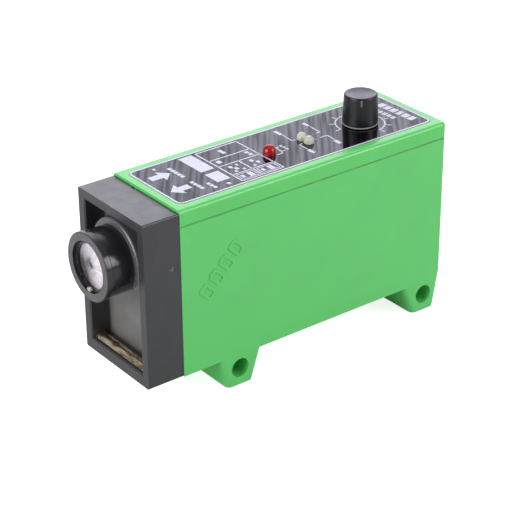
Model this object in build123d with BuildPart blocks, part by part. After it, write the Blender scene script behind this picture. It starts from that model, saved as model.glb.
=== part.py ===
from build123d import *
import os

# A photoelectric mark sensor: a green housing on two feet, a dark nose frame with a screw-focus
# lens barrel, and a cover with indicator lamps and a sensitivity knob.
# Millimetres, +Z up, +Y from the nose towards the plug, +X to the right seen from the nose.
# The origin is midway between the two cross holes in the feet, at mid-width.

# ---- driving dimensions ----
hole_spacing = 68.0
hole_height = 5.25
foot_hole_radius = 2.9
nose_overhang = 30.3
housing_length = 105.0
width = 30.8
belly_height = 9.45
parting_height = 54.3
nose_height = 58.3
cover_height = 59.1
nose_depth = 11.5
wall = 2.2
floor_thickness = 2.6

# Planes that everything is placed from.
base = -hole_height
belly = base + belly_height
parting = base + parting_height
nose_top = base + nose_height
cover_top = base + cover_height
nose_face = -hole_spacing / 2 - nose_overhang
front = nose_face + nose_depth
rear = nose_face + housing_length
half_width = width / 2
inner_half = half_width - wall
floor_top = belly + floor_thickness
inner_front = front + wall
inner_rear = rear - wall

# Clearances.
hair = 0.02
running = 0.05
slip = 0.1

# Optics.
lens_height = 37.45
barrel_radius = 9.4
rim_radius = 9.7
barrel_bore = 8.2
rim_opening = 7.35
barrel_front = nose_face - 7.6
barrel_rear = -54.5
sleeve_radius = 10.6
key_radius = 10.05
key_width = 2.2

# Small screws share one head; M2 and M3 cores share their pilot sizes.
small_shank_radius = 0.95
small_head_radius = 1.6
small_head_height = 1.2
small_pilot_radius = 1.0
optics_shank_radius = 1.2
optics_screw_length = 9.0
display_shank_radius = 1.0

# Nose frame.
nose_half = 15.2
recess_half = 12.3
recess_bottom = base + 12.9
recess_top = base + 55.4
recess_floor = nose_face + 6.4
pocket_half = 13.0
pocket_floor = recess_floor + 1.7

# Cover.
cover_plate = 2.4
cover_under = cover_top - cover_plate
label_recess = 0.35
label_top = cover_top + 0.05
label_bottom = cover_top - label_recess
label_half = 12.3
label_front = nose_face + 13.7
label_rear = nose_face + 102.0
label_corner = 2.0
knob_x = 0.8
knob_y = nose_face + 84.7
output_lamp = (1.5, nose_face + 51.4)
status_lamp_x = (-0.7, 2.4)
status_lamp_y = nose_face + 64.65
output_lamp_radius = 1.8
status_lamp_radius = 1.2

# Cover screws stand in four posts.
post_x = 10.0
post_radius = 3.0
post_y = (-47.4, 21.0)
post_top = 47.0
screw_radius = 1.5
cover_head_radius = 2.75
cover_head_height = 2.0
cover_seat_depth = 2.4

# Boards.
board_thickness = 1.6
display_bottom = 44.4
display_top = display_bottom + board_thickness
display_front = -17.5
display_rear = 33.0
display_width = 23.6
main_x = -5.2
main_front = -16.0
main_rear = 27.0
main_bottom = 8.8
main_top = 42.0

# Plug at the rear.
plug_height = 24.0
plug_pocket_floor = rear - 3.0
plug_radius = 6.0
plug_end = rear + 5.5

os.makedirs("parts", exist_ok=True)


def save(name, piece):
    piece.part.label = name
    export_step(piece.part, f"parts/{name}.step")


def mirrored_pairs(x, ys):
    return [(side * x, y) for y in ys for side in (-1, 1)]


optics_screw_x = 11.0
optics_screw_y = -29.5
optics_places = mirrored_pairs(optics_screw_x, [optics_screw_y])
cover_screw_places = mirrored_pairs(post_x, post_y)


# ---- housing_body: the green shell, its feet, posts and rear plug boss ----
foot_front_top = nose_face + 23.1
foot_front_bottom = nose_face + 25.9
foot_back_bottom = nose_face + 34.8
foot_back_top = nose_face + 37.9
rear_foot_top = nose_face + 90.1
rear_foot_bottom = nose_face + 94.1
rear_foot_heel = nose_face + 102.9
heel_height = base + 11.3
corner_radius = 1.6
parting_chamfer = 0.25
rail_height = 3.7
rail_gap = board_thickness + slip
rail_wall = 1.2
pillar_width = 4.4
pillar_depth = 5.0
pillar_height = 30.0
spigot_length = 3.2
spigot_half = pocket_half - 0.05
spigot_bar = 1.5
spigot_bottom = recess_bottom + 0.05
spigot_opening = 12.0
wall_opening_top = 47.6
nose_screw_places = mirrored_pairs(6.0, [front - 2.0])
nose_pilot_depth = 3.6
optics_pilot_radius = 1.25
plug_boss_radius = 9.8
plug_boss_front = 34.5
plug_pocket_radius = 8.0
badge_y = nose_face + 24.6
badge_z = base + 37.9
badge_tilt = 46.6
badge_pitch = 4.7
badge_length = 5.2
badge_width = 3.4
badge_line = 0.8
badge_relief = 0.3

with BuildPart() as housing_body:
    with BuildSketch(Plane.YZ):
        with BuildLine():
            Polyline(
                (front, parting),
                (front, belly),
                (foot_front_top, belly),
                (foot_front_bottom, base),
                (foot_back_bottom, base),
                (foot_back_top, belly),
                (rear_foot_top, belly),
                (rear_foot_bottom, base),
                (rear_foot_heel, base),
                (rear, heel_height),
                (rear, parting),
                close=True,
            )
        make_face()
    extrude(amount=half_width, both=True)
    # The feet and the rear have rounded corners; the parting edge has a small chamfer.
    side_edges = housing_body.faces().filter_by(Axis.X).edges()
    foot_corners = side_edges.filter_by(lambda edge: base + 1 < edge.center().Z < belly - 1)
    rear_corners = housing_body.edges().filter_by(Axis.Z).group_by(Axis.Y)[-1]
    fillet(foot_corners + rear_corners, corner_radius)
    rim = housing_body.faces().sort_by(Axis.Z)[-1].edges()
    chamfer(rim.filter_by(lambda edge: edge.center().Y > front + 1), parting_chamfer)
    # Cavity, open at the top.
    with BuildSketch(Plane.XY.offset(floor_top)):
        with Locations((0, (inner_front + inner_rear) / 2)):
            Rectangle(2 * inner_half, inner_rear - inner_front)
    extrude(amount=parting - floor_top, mode=Mode.SUBTRACT)
    # Spigot that carries the nose, a U in front of the front wall.
    with BuildSketch(Plane.XZ.offset(-front)):
        with Locations((0, (spigot_bottom + parting) / 2)):
            Rectangle(2 * spigot_half, parting - spigot_bottom)
        with Locations((0, (spigot_opening + parting) / 2)):
            Rectangle(2 * (spigot_half - spigot_bar), parting - spigot_opening, mode=Mode.SUBTRACT)
    extrude(amount=spigot_length)
    with BuildSketch(Plane.XZ.offset(-inner_front)):
        with Locations((0, (spigot_opening + wall_opening_top) / 2)):
            Rectangle(2 * (spigot_half - spigot_bar), wall_opening_top - spigot_opening)
    extrude(amount=wall, mode=Mode.SUBTRACT)
    # Posts for the cover screws and pillars for the optics block.
    with BuildSketch(Plane.XY.offset(floor_top)):
        with Locations(*cover_screw_places):
            Circle(post_radius)
    extrude(amount=post_top - floor_top)
    with BuildSketch(Plane.XY.offset(floor_top)):
        with Locations(*optics_places):
            Rectangle(pillar_width, pillar_depth)
    extrude(amount=pillar_height - floor_top)
    # Rails that hold the main board on edge.
    rail_x = main_x - board_thickness / 2
    with BuildSketch(Plane.XY.offset(floor_top)):
        with Locations((rail_x, (main_front + main_rear) / 2)):
            Rectangle(rail_gap + 2 * rail_wall, main_rear - main_front)
    extrude(amount=rail_height)
    with BuildSketch(Plane.XY.offset(main_bottom)):
        with Locations((rail_x, (main_front + main_rear) / 2)):
            Rectangle(rail_gap, main_rear - main_front + 2 * slip)
    extrude(amount=rail_height, mode=Mode.SUBTRACT)
    # Boss behind the plug, its outer pocket and the panel hole.
    with BuildSketch(Plane.XZ.offset(-inner_rear)):
        with Locations((0, plug_height)):
            Circle(plug_boss_radius)
    extrude(amount=inner_rear - plug_boss_front)
    with BuildSketch(Plane.XZ.offset(-rear)):
        with Locations((0, plug_height)):
            Circle(plug_pocket_radius)
    extrude(amount=rear - plug_pocket_floor, mode=Mode.SUBTRACT)
    with BuildSketch(Plane.XZ.offset(-rear)):
        with Locations((0, plug_height)):
            Circle(plug_radius + slip)
    extrude(amount=rear - plug_boss_front, mode=Mode.SUBTRACT)
    # Cross holes through the feet.
    with BuildSketch(Plane.YZ.offset(-half_width)):
        with Locations((-hole_spacing / 2, 0), (hole_spacing / 2, 0)):
            Circle(foot_hole_radius)
    extrude(amount=width, mode=Mode.SUBTRACT)
    # Cover screw holes from the underside.
    with BuildSketch(Plane.XY.offset(belly)):
        with Locations(*cover_screw_places):
            Circle(screw_radius + slip)
    extrude(amount=post_top - belly, mode=Mode.SUBTRACT)
    with BuildSketch(Plane.XY.offset(belly)):
        with Locations(*cover_screw_places):
            Circle(post_radius)
    extrude(amount=cover_seat_depth, mode=Mode.SUBTRACT)
    # Pilot holes for the nose screws and the optics screws.
    with BuildSketch(Plane.XY.offset(spigot_bottom)):
        with Locations(*nose_screw_places):
            Circle(small_pilot_radius)
    extrude(amount=nose_pilot_depth, mode=Mode.SUBTRACT)
    with BuildSketch(Plane.XY.offset(pillar_height - optics_screw_length)):
        with Locations(*optics_places):
            Circle(optics_pilot_radius)
    extrude(amount=optics_screw_length, mode=Mode.SUBTRACT)
    # A plain raised badge on the +X side: four rounded frames in a slanting row.
    with BuildSketch(Plane.YZ.offset(half_width)):
        with Locations(Location((badge_y, badge_z), badge_tilt)):
            with GridLocations(badge_pitch, 0, 4, 1):
                RectangleRounded(badge_width, badge_length, badge_width / 3)
                RectangleRounded(
                    badge_width - 2 * badge_line,
                    badge_length - 2 * badge_line,
                    badge_width / 6,
                    mode=Mode.SUBTRACT,
                )
    extrude(amount=badge_relief)
save("housing_body", housing_body)

# ---- top_cover: the lid, with a tongue that drops into the housing ----
cover_round = 1.1
tongue_gap = 0.15
tongue_wall = 1.2
tongue_outer = inner_half - tongue_gap
tongue_bottom = parting - 2.0
gasket_groove_depth = 0.8
gasket_inset = 0.6
gasket_width = 1.0
display_places = mirrored_pairs(8.5, (-14.5, 29.5))
display_pillar_radius = 2.2
display_pilot_radius = display_shank_radius + running
cover_pilot_depth = 5.0
knob_bush_radius = 4.2
lug_x = -4.84
lug_width = 1.4
lug_height = 1.0
lug_depth = 0.6
lug_below_top = 1.3

with BuildPart() as top_cover:
    with BuildSketch(Plane.XY.offset(parting)):
        with Locations((0, (front + rear) / 2)):
            Rectangle(width, rear - front)
    extrude(amount=cover_top - parting)
    fillet(top_cover.edges().filter_by(Axis.Z).group_by(Axis.Y)[-1], corner_radius)
    top_rim = top_cover.faces().sort_by(Axis.Z)[-1].edges()
    fillet(top_rim.filter_by(lambda edge: edge.center().Y > front + 1), cover_round)
    lower_rim = top_cover.faces().sort_by(Axis.Z)[0].edges()
    chamfer(lower_rim.filter_by(lambda edge: edge.center().Y > front + 1), parting_chamfer)
    # Hollow above the parting plane, open downwards.
    with BuildSketch(Plane.XY.offset(parting)):
        with Locations((0, (inner_front + inner_rear) / 2)):
            Rectangle(2 * inner_half, inner_rear - inner_front)
    extrude(amount=cover_under - parting, mode=Mode.SUBTRACT)
    with BuildSketch(Plane.XY.offset(tongue_bottom)):
        with Locations((0, (inner_front + inner_rear) / 2)):
            Rectangle(2 * tongue_outer, inner_rear - inner_front - 2 * tongue_gap)
            Rectangle(
                2 * (tongue_outer - tongue_wall),
                inner_rear - inner_front - 2 * (tongue_gap + tongue_wall),
                mode=Mode.SUBTRACT,
            )
    extrude(amount=cover_under - tongue_bottom)
    # Bosses that take the cover screws, and pillars for the display board.
    with BuildSketch(Plane.XY.offset(post_top + running)):
        with Locations(*cover_screw_places):
            Circle(post_radius)
    extrude(amount=cover_under - post_top - running)
    with BuildSketch(Plane.XY.offset(display_top)):
        with Locations(*display_places):
            Circle(display_pillar_radius)
    extrude(amount=cover_under - display_top)
    with BuildSketch(Plane.XY.offset(post_top)):
        with Locations(*cover_screw_places):
            Circle(screw_radius + running)
    extrude(amount=cover_pilot_depth, mode=Mode.SUBTRACT)
    with BuildSketch(Plane.XY.offset(display_top)):
        with Locations(*display_places):
            Circle(display_pilot_radius)
    extrude(amount=cover_pilot_depth, mode=Mode.SUBTRACT)
    # Seat for the label, and the openings for lamps and knob shaft.
    with BuildSketch(Plane.XY.offset(label_bottom)):
        with Locations((0, (label_front + label_rear) / 2)):
            RectangleRounded(2 * (label_half + slip), label_rear - label_front + 2 * slip, label_corner)
    extrude(amount=cover_top - label_bottom, mode=Mode.SUBTRACT)
    with BuildSketch(Plane.XY.offset(cover_under)):
        with Locations(output_lamp):
            Circle(output_lamp_radius + slip)
        with Locations((sum(status_lamp_x) / 2, status_lamp_y)):
            SlotCenterToCenter(status_lamp_x[1] - status_lamp_x[0], 2 * (status_lamp_radius + slip))
        with Locations((knob_x, knob_y)):
            Circle(knob_bush_radius)
    extrude(amount=cover_plate, mode=Mode.SUBTRACT)
    # Gasket groove in the underside of the skirt.
    with BuildSketch(Plane.XY.offset(parting)):
        with Locations((0, (front + rear) / 2)):
            Rectangle(width - 2 * gasket_inset, rear - front - 2 * gasket_inset)
            Rectangle(
                width - 2 * gasket_inset - 2 * gasket_width,
                rear - front - 2 * gasket_inset - 2 * gasket_width,
                mode=Mode.SUBTRACT,
            )
    extrude(amount=gasket_groove_depth, mode=Mode.SUBTRACT)
    # Lug that drops into the notch of the nose.
    with BuildSketch(Plane.XZ.offset(-front)):
        with Locations((lug_x, nose_top - lug_below_top)):
            Rectangle(lug_width, lug_height)
    extrude(amount=lug_depth)
save("top_cover", top_cover)

with BuildPart() as cover_gasket:
    with BuildSketch(Plane.XY.offset(parting)):
        with Locations((0, (front + rear) / 2)):
            Rectangle(
                width - 2 * (gasket_inset + running),
                rear - front - 2 * (gasket_inset + running),
            )
            Rectangle(
                width - 2 * (gasket_inset + gasket_width - running),
                rear - front - 2 * (gasket_inset + gasket_width - running),
                mode=Mode.SUBTRACT,
            )
    extrude(amount=gasket_groove_depth)
save("cover_gasket", cover_gasket)


# Every screw has a low round head with a cross recess; its shank points along the plane's +Z.
# The recess is given as shares of the head's radius and height.
cross_length = 1.2
cross_width = 0.25
cross_depth = 0.6


def add_screws(plane, places, shank_radius, shank_length, head_radius, head_height):
    with BuildSketch(plane) as heads:
        with Locations(*places):
            Circle(head_radius)
    extrude(heads.sketch, amount=-head_height)
    with BuildSketch(plane) as shanks:
        with Locations(*places):
            Circle(shank_radius)
    extrude(shanks.sketch, amount=shank_length)
    with BuildSketch(plane.offset(-head_height)) as recesses:
        with Locations(*places):
            Rectangle(cross_length * head_radius, cross_width * head_radius)
            Rectangle(cross_width * head_radius, cross_length * head_radius)
    extrude(recesses.sketch, amount=cross_depth * head_height, mode=Mode.SUBTRACT)


cover_screw_grip = 4.0
with BuildPart() as cover_screws:
    add_screws(
        Plane.XY.offset(belly + cover_seat_depth),
        cover_screw_places,
        screw_radius,
        post_top + cover_screw_grip - belly - cover_seat_depth,
        cover_head_radius,
        cover_head_height,
    )
save("cover_screws", cover_screws)

# ---- label_plate: the printed overlay on the cover ----
label_knob_hole = 4.8
with BuildPart() as label_plate:
    with BuildSketch(Plane.XY.offset(label_bottom)):
        with Locations((0, (label_front + label_rear) / 2)):
            RectangleRounded(2 * label_half, label_rear - label_front, label_corner)
        with Locations(output_lamp):
            Circle(output_lamp_radius + slip, mode=Mode.SUBTRACT)
        with Locations((sum(status_lamp_x) / 2, status_lamp_y)):
            SlotCenterToCenter(
                status_lamp_x[1] - status_lamp_x[0],
                2 * (status_lamp_radius + slip),
                mode=Mode.SUBTRACT,
            )
        with Locations((knob_x, knob_y)):
            Circle(label_knob_hole, mode=Mode.SUBTRACT)
    extrude(amount=label_top - label_bottom)
save("label_plate", label_plate)

# ---- nose_frame: the dark optical head with its open front recess ----
nose_edge = 0.5
mouth_chamfer = 0.35
nose_gasket_gap = 0.4
nose_gasket_inner = pocket_half + nose_gasket_gap
nose_gasket_width = 0.9
nose_gasket_depth = 0.8
nose_seat_depth = 1.3
nose_hole_radius = small_shank_radius + slip
notch_width = 1.6
notch_height = 1.9
notch_depth = 0.8
bar_front = nose_face + 1.2
bar_width = 3.4
bar_sink = 1.0
bar_rise = 1.3
bar_y = bar_front + bar_width / 2
bar_screw_places = mirrored_pairs(7.0, [bar_y])
bar_pilot_depth = 1.7

with BuildPart() as nose_frame:
    with BuildSketch(Plane.XZ.offset(-front)):
        with Locations((0, (belly + nose_top) / 2)):
            Rectangle(2 * nose_half, nose_top - belly)
    extrude(amount=nose_depth)
    fillet(nose_frame.edges().filter_by(Axis.Y), nose_edge)
    with BuildSketch(Plane.XZ.offset(-recess_floor)):
        with Locations((0, (recess_bottom + recess_top) / 2)):
            Rectangle(2 * recess_half, recess_top - recess_bottom)
    extrude(amount=recess_floor - nose_face, mode=Mode.SUBTRACT)
    mouth = nose_frame.faces().sort_by(Axis.Y)[0].inner_wires()[0]
    chamfer(mouth.edges(), mouth_chamfer)
    with BuildSketch(Plane.XZ.offset(-front)):
        with Locations((0, (recess_bottom + recess_top) / 2)):
            Rectangle(2 * pocket_half, recess_top - recess_bottom)
    extrude(amount=front - pocket_floor, mode=Mode.SUBTRACT)
    with BuildSketch(Plane.XZ.offset(-pocket_floor)):
        with Locations((0, lens_height)):
            Circle(sleeve_radius)
    extrude(amount=pocket_floor - recess_floor, mode=Mode.SUBTRACT)
    # Groove for the gasket round the pocket.
    with BuildSketch(Plane.XZ.offset(-front)):
        with Locations((0, (recess_bottom + recess_top) / 2)):
            Rectangle(
                2 * (nose_gasket_inner + nose_gasket_width),
                recess_top - recess_bottom + 2 * (nose_gasket_width + nose_gasket_gap),
            )
            Rectangle(
                2 * nose_gasket_inner,
                recess_top - recess_bottom + 2 * nose_gasket_gap,
                mode=Mode.SUBTRACT,
            )
    extrude(amount=nose_gasket_depth, mode=Mode.SUBTRACT)
    # Notch for the cover's lug.
    with BuildSketch(Plane.XZ.offset(-front)):
        with Locations((lug_x, nose_top - notch_height / 2)):
            Rectangle(notch_width, notch_height)
    extrude(amount=notch_depth, mode=Mode.SUBTRACT)
    # Screw holes from the underside, and the groove that seats the brass bar.
    with BuildSketch(Plane.XY.offset(belly)):
        with Locations(*nose_screw_places, *bar_screw_places):
            Circle(nose_hole_radius)
    extrude(amount=recess_bottom - belly, mode=Mode.SUBTRACT)
    with BuildSketch(Plane.XY.offset(belly)):
        with Locations(*nose_screw_places, *bar_screw_places):
            Circle(small_head_radius + slip)
    extrude(amount=nose_seat_depth, mode=Mode.SUBTRACT)
    with BuildSketch(Plane.XY.offset(recess_bottom)):
        with Locations((0, bar_y)):
            Rectangle(2 * recess_half, bar_width + slip)
    extrude(amount=-bar_sink, mode=Mode.SUBTRACT)
save("nose_frame", nose_frame)

with BuildPart() as nose_gasket:
    with BuildSketch(Plane.XZ.offset(-front)):
        with Locations((0, (recess_bottom + recess_top) / 2)):
            Rectangle(
                2 * (nose_gasket_inner + nose_gasket_width - running),
                recess_top - recess_bottom + 2 * (nose_gasket_width + nose_gasket_gap - running),
            )
            Rectangle(
                2 * (nose_gasket_inner + running),
                recess_top - recess_bottom + 2 * (nose_gasket_gap + running),
                mode=Mode.SUBTRACT,
            )
        # The seal is cut away where the cover's lug passes.
        with Locations((lug_x, nose_top - notch_height / 2)):
            Rectangle(notch_width + 2 * slip, notch_height + 2 * slip, mode=Mode.SUBTRACT)
    extrude(amount=nose_gasket_depth - running)
save("nose_gasket", nose_gasket)

nose_screw_length = 5.4
with BuildPart() as nose_screws:
    add_screws(
        Plane.XY.offset(belly + nose_seat_depth),
        nose_screw_places,
        small_shank_radius,
        nose_screw_length,
        small_head_radius,
        small_head_height,
    )
save("nose_screws", nose_screws)

with BuildPart() as brass_bar:
    with BuildSketch(Plane.YZ.offset(-recess_half + slip)):
        with BuildLine():
            ThreePointArc(
                (bar_front, recess_bottom),
                (bar_y, recess_bottom + bar_rise),
                (bar_front + bar_width, recess_bottom),
            )
            Polyline(
                (bar_front + bar_width, recess_bottom),
                (bar_front + bar_width, recess_bottom - bar_sink),
                (bar_front, recess_bottom - bar_sink),
                (bar_front, recess_bottom),
            )
        make_face()
    extrude(amount=2 * (recess_half - slip))
    with BuildSketch(Plane.XY.offset(recess_bottom - bar_sink)):
        with Locations(*bar_screw_places):
            Circle(small_pilot_radius)
    extrude(amount=bar_pilot_depth, mode=Mode.SUBTRACT)
save("brass_bar", brass_bar)

bar_screw_length = 2.6
with BuildPart() as bar_screws:
    add_screws(
        Plane.XY.offset(belly + nose_seat_depth),
        bar_screw_places,
        small_shank_radius,
        bar_screw_length,
        small_head_radius,
        small_head_height,
    )
save("bar_screws", bar_screws)

# ---- lens_mount: arch-shaped guide of the barrel with a sleeve through the nose wall ----
arch_radius = 11.3
arch_front = nose_face + 0.9
arch_bottom = base + 37.0
arch_corner = 2.2
arch_edge = 0.8
sleeve_end = -53.2
circlip_y = pocket_floor + running
circlip_thickness = 1.0
circlip_radius = sleeve_radius + 0.7
circlip_groove_radius = sleeve_radius - 0.35
circlip_gap = 6.0

with BuildPart() as lens_mount:
    with BuildSketch(Plane.XZ.offset(-recess_floor)):
        with Locations((0, lens_height)):
            Circle(arch_radius)
        with Locations((0, arch_bottom - arch_radius / 2)):
            Rectangle(2 * arch_radius, arch_radius, mode=Mode.SUBTRACT)
        with Locations((0, (arch_bottom + lens_height) / 2)):
            Rectangle(2 * arch_radius, lens_height - arch_bottom)
    extrude(amount=recess_floor - arch_front)
    lower_corners = lens_mount.edges().filter_by(Axis.Y).group_by(Axis.Z)[0]
    fillet(lower_corners, arch_corner)
    fillet(lens_mount.faces().sort_by(Axis.Y)[0].edges(), arch_edge)
    with BuildSketch(Plane.XZ.offset(-sleeve_end)):
        with Locations((0, lens_height)):
            Circle(sleeve_radius)
    extrude(amount=sleeve_end - recess_floor)
    with BuildSketch(Plane.XZ.offset(-sleeve_end)):
        with Locations((0, lens_height)):
            Circle(barrel_radius + running)
    extrude(amount=sleeve_end - arch_front, mode=Mode.SUBTRACT)
    # Keyways for the lens cell, and the groove for the circlip.
    with BuildSketch(Plane.XZ.offset(-sleeve_end)):
        with Locations((0, lens_height)):
            Rectangle(2 * (key_radius + running), key_width + slip)
    extrude(amount=sleeve_end - recess_floor, mode=Mode.SUBTRACT)
    with BuildSketch(Plane.XZ.offset(-circlip_y - circlip_thickness - running)):
        with Locations((0, lens_height)):
            Circle(circlip_radius)
            Circle(circlip_groove_radius, mode=Mode.SUBTRACT)
    extrude(amount=circlip_thickness + running, mode=Mode.SUBTRACT)
save("lens_mount", lens_mount)

with BuildPart() as mount_circlip:
    with BuildSketch(Plane.XZ.offset(-circlip_y - circlip_thickness)):
        with Locations((0, lens_height)):
            Circle(circlip_radius)
            Circle(circlip_groove_radius + hair, mode=Mode.SUBTRACT)
        with Locations((0, lens_height - sleeve_radius)):
            Rectangle(circlip_gap, sleeve_radius, mode=Mode.SUBTRACT)
    extrude(amount=circlip_thickness - running)
save("mount_circlip", mount_circlip)

# ---- the focusing lens: barrel and retaining ring turn, cell and glass slide ----
rim_length = 1.8
rim_chamfer = 0.3
ring_front = barrel_front + 0.9
ring_thickness = 0.8
ring_opening = 6.45
spanner_depth = 0.5
spanner_angle = 50
cell_front = ring_front + ring_thickness + slip
cell_seat = cell_front + 2.4
cell_flange_front = barrel_rear + slip
cell_rear = cell_flange_front + 1.0
cell_bore = 6.2
key_root = barrel_radius - 0.5
lens_radius = 6.9
lens_edge = 2.3
lens_bulge = 1.0
lens_back = 0.7
lens_back_radius = 4.5


def add_tube(height, y_front, y_rear, outer, inner):
    with BuildSketch(Plane.XZ.offset(-y_rear)) as ring:
        with Locations((0, height)):
            Circle(outer)
            Circle(inner, mode=Mode.SUBTRACT)
    extrude(ring.sketch, amount=y_rear - y_front)


with BuildPart() as lens_barrel:
    with BuildSketch(Plane.YZ):
        with BuildLine():
            Polyline(
                (barrel_rear, lens_height + barrel_bore),
                (ring_front + ring_thickness, lens_height + barrel_bore),
                (ring_front + ring_thickness, lens_height + rim_opening),
                (barrel_front, lens_height + rim_opening),
                (barrel_front, lens_height + rim_radius),
                (barrel_front + rim_length, lens_height + rim_radius),
                (barrel_front + rim_length + rim_chamfer, lens_height + barrel_radius),
                (barrel_rear, lens_height + barrel_radius),
                close=True,
            )
        make_face()
    revolve(axis=Axis((0, 0, lens_height), (0, 1, 0)))
    rim_edges = lens_barrel.faces().sort_by(Axis.Y)[0].edges()
    chamfer(rim_edges, rim_chamfer)
save("lens_barrel", lens_barrel)

spanner_width = 1.4
with BuildPart() as lens_retaining_ring:
    add_tube(lens_height, ring_front, ring_front + ring_thickness, rim_opening, ring_opening)
    # Two spanner notches.
    with BuildSketch(Plane.XZ.offset(-ring_front - spanner_depth)):
        with Locations((0, lens_height)):
            with PolarLocations((ring_opening + rim_opening) / 2, 2, start_angle=spanner_angle):
                Rectangle(2 * (rim_opening - ring_opening), spanner_width)
    extrude(amount=spanner_depth, mode=Mode.SUBTRACT)
save("lens_retaining_ring", lens_retaining_ring)

with BuildPart() as lens_cell:
    add_tube(lens_height, cell_front, cell_flange_front, barrel_bore - running, cell_bore)
    add_tube(lens_height, cell_flange_front, cell_rear, barrel_radius - slip, cell_bore)
    with BuildSketch(Plane.XZ.offset(-cell_rear)):
        with Locations((0, lens_height)):
            Rectangle(2 * key_radius, key_width)
            Circle(key_root, mode=Mode.SUBTRACT)
    extrude(amount=cell_rear - cell_flange_front)
    with BuildSketch(Plane.XZ.offset(-cell_seat)):
        with Locations((0, lens_height)):
            Circle(lens_radius + running)
    extrude(amount=cell_seat - cell_front, mode=Mode.SUBTRACT)
save("lens_cell", lens_cell)

lens_front = cell_seat - lens_edge
lens_curve = (lens_radius**2 + lens_bulge**2) / (2 * lens_bulge)
with BuildPart() as objective_lens:
    with BuildSketch(Plane.YZ):
        with BuildLine():
            RadiusArc(
                (lens_front - lens_bulge, lens_height),
                (lens_front, lens_height + lens_radius),
                lens_curve,
            )
            Polyline(
                (lens_front, lens_height + lens_radius),
                (cell_seat, lens_height + lens_radius),
                (cell_seat, lens_height + cell_bore - slip),
                (cell_seat + lens_back, lens_height + lens_back_radius),
                (cell_seat + lens_back, lens_height),
                (lens_front - lens_bulge, lens_height),
            )
        make_face()
    revolve(axis=Axis((0, 0, lens_height), (0, 1, 0)))
save("objective_lens", objective_lens)

# ---- optics behind the lens: block, splitter, emitter and receiver ----
block_front = -44.0
block_rear = -22.0
block_half = 8.4
block_bottom = lens_height - 9.0
block_top = lens_height + 9.0
block_edge = 0.8
main_bore = 6.5
side_bore = 4.5
receiver_bore = 2.2
chamber_end = -28.0
splitter_y = -35.0
splitter_thickness = 1.0
splitter_width = 14.6
splitter_length = 10.0
emitter_radius = 2.5
aperture_height = 30.5
aperture_thickness = 0.5
aperture_radius = 0.8
optics_head_radius = 2.2
optics_head_height = 1.6
ear_top = pillar_height + 3.0

splitter_plane = Plane(origin=(0, splitter_y, lens_height), x_dir=(1, 0, 0), z_dir=(0, 1, 1))

with BuildPart() as optics_block:
    with BuildSketch(Plane.XZ.offset(-block_rear)):
        with Locations((0, lens_height)):
            Rectangle(2 * block_half, block_top - block_bottom)
    extrude(amount=block_rear - block_front)
    fillet(optics_block.edges().filter_by(Axis.Y), block_edge)
    with BuildSketch(Plane.XY.offset(pillar_height)):
        with Locations((0, optics_screw_y)):
            Rectangle(2 * optics_screw_x + pillar_width - 2 * running, pillar_depth)
    extrude(amount=ear_top - pillar_height)
    with BuildSketch(Plane.XZ.offset(-chamber_end)):
        with Locations((0, lens_height)):
            Circle(main_bore)
    extrude(amount=chamber_end - block_front, mode=Mode.SUBTRACT)
    with BuildSketch(Plane.XZ.offset(-block_rear)):
        with Locations((0, lens_height)):
            Circle(emitter_radius + slip)
    extrude(amount=block_rear - chamber_end, mode=Mode.SUBTRACT)
    # Side bore down to the receiver, narrowed below the aperture disc.
    with BuildSketch(Plane.XY.offset(aperture_height)):
        with Locations((0, splitter_y)):
            Circle(side_bore)
    extrude(amount=lens_height - aperture_height, mode=Mode.SUBTRACT)
    with BuildSketch(Plane.XY.offset(block_bottom)):
        with Locations((0, splitter_y)):
            Circle(receiver_bore)
    extrude(amount=aperture_height - block_bottom, mode=Mode.SUBTRACT)
    # Slots that hold the splitter plate by its edges.
    with BuildSketch(splitter_plane):
        Rectangle(splitter_width + 2 * slip, splitter_length + 2 * slip)
    extrude(amount=splitter_thickness / 2 + running, both=True, mode=Mode.SUBTRACT)
    with BuildSketch(Plane.XY.offset(pillar_height)):
        with Locations(*optics_places):
            Circle(optics_shank_radius + slip)
    extrude(amount=ear_top - pillar_height, mode=Mode.SUBTRACT)
save("optics_block", optics_block)

with BuildPart() as optics_screws:
    add_screws(
        Plane(origin=(0, 0, ear_top), x_dir=(1, 0, 0), z_dir=(0, 0, -1)),
        mirrored_pairs(optics_screw_x, [-optics_screw_y]),
        optics_shank_radius,
        optics_screw_length,
        optics_head_radius,
        optics_head_height,
    )
save("optics_screws", optics_screws)

with BuildPart() as beam_splitter:
    with BuildSketch(splitter_plane):
        Rectangle(splitter_width, splitter_length)
    extrude(amount=splitter_thickness / 2, both=True)
save("beam_splitter", beam_splitter)

condenser_radius = main_bore - slip
condenser_edge = 0.8
condenser_bulge = 1.6
condenser_front = chamber_end - condenser_edge - condenser_bulge
condenser_curve = (condenser_radius**2 + condenser_bulge**2) / (2 * condenser_bulge)
with BuildPart() as condenser_lens:
    with BuildSketch(Plane.YZ):
        with BuildLine():
            RadiusArc(
                (condenser_front, lens_height),
                (chamber_end - condenser_edge, lens_height + condenser_radius),
                condenser_curve,
            )
            Polyline(
                (chamber_end - condenser_edge, lens_height + condenser_radius),
                (chamber_end, lens_height + condenser_radius),
                (chamber_end, lens_height),
                (condenser_front, lens_height),
            )
        make_face()
    revolve(axis=Axis((0, 0, lens_height), (0, 1, 0)))
save("condenser_lens", condenser_lens)

with BuildPart() as aperture_disc:
    with BuildSketch(Plane.XY.offset(aperture_height)):
        with Locations((0, splitter_y)):
            Circle(side_bore - slip)
            Circle(aperture_radius, mode=Mode.SUBTRACT)
    extrude(amount=aperture_thickness)
save("aperture_disc", aperture_disc)

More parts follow.
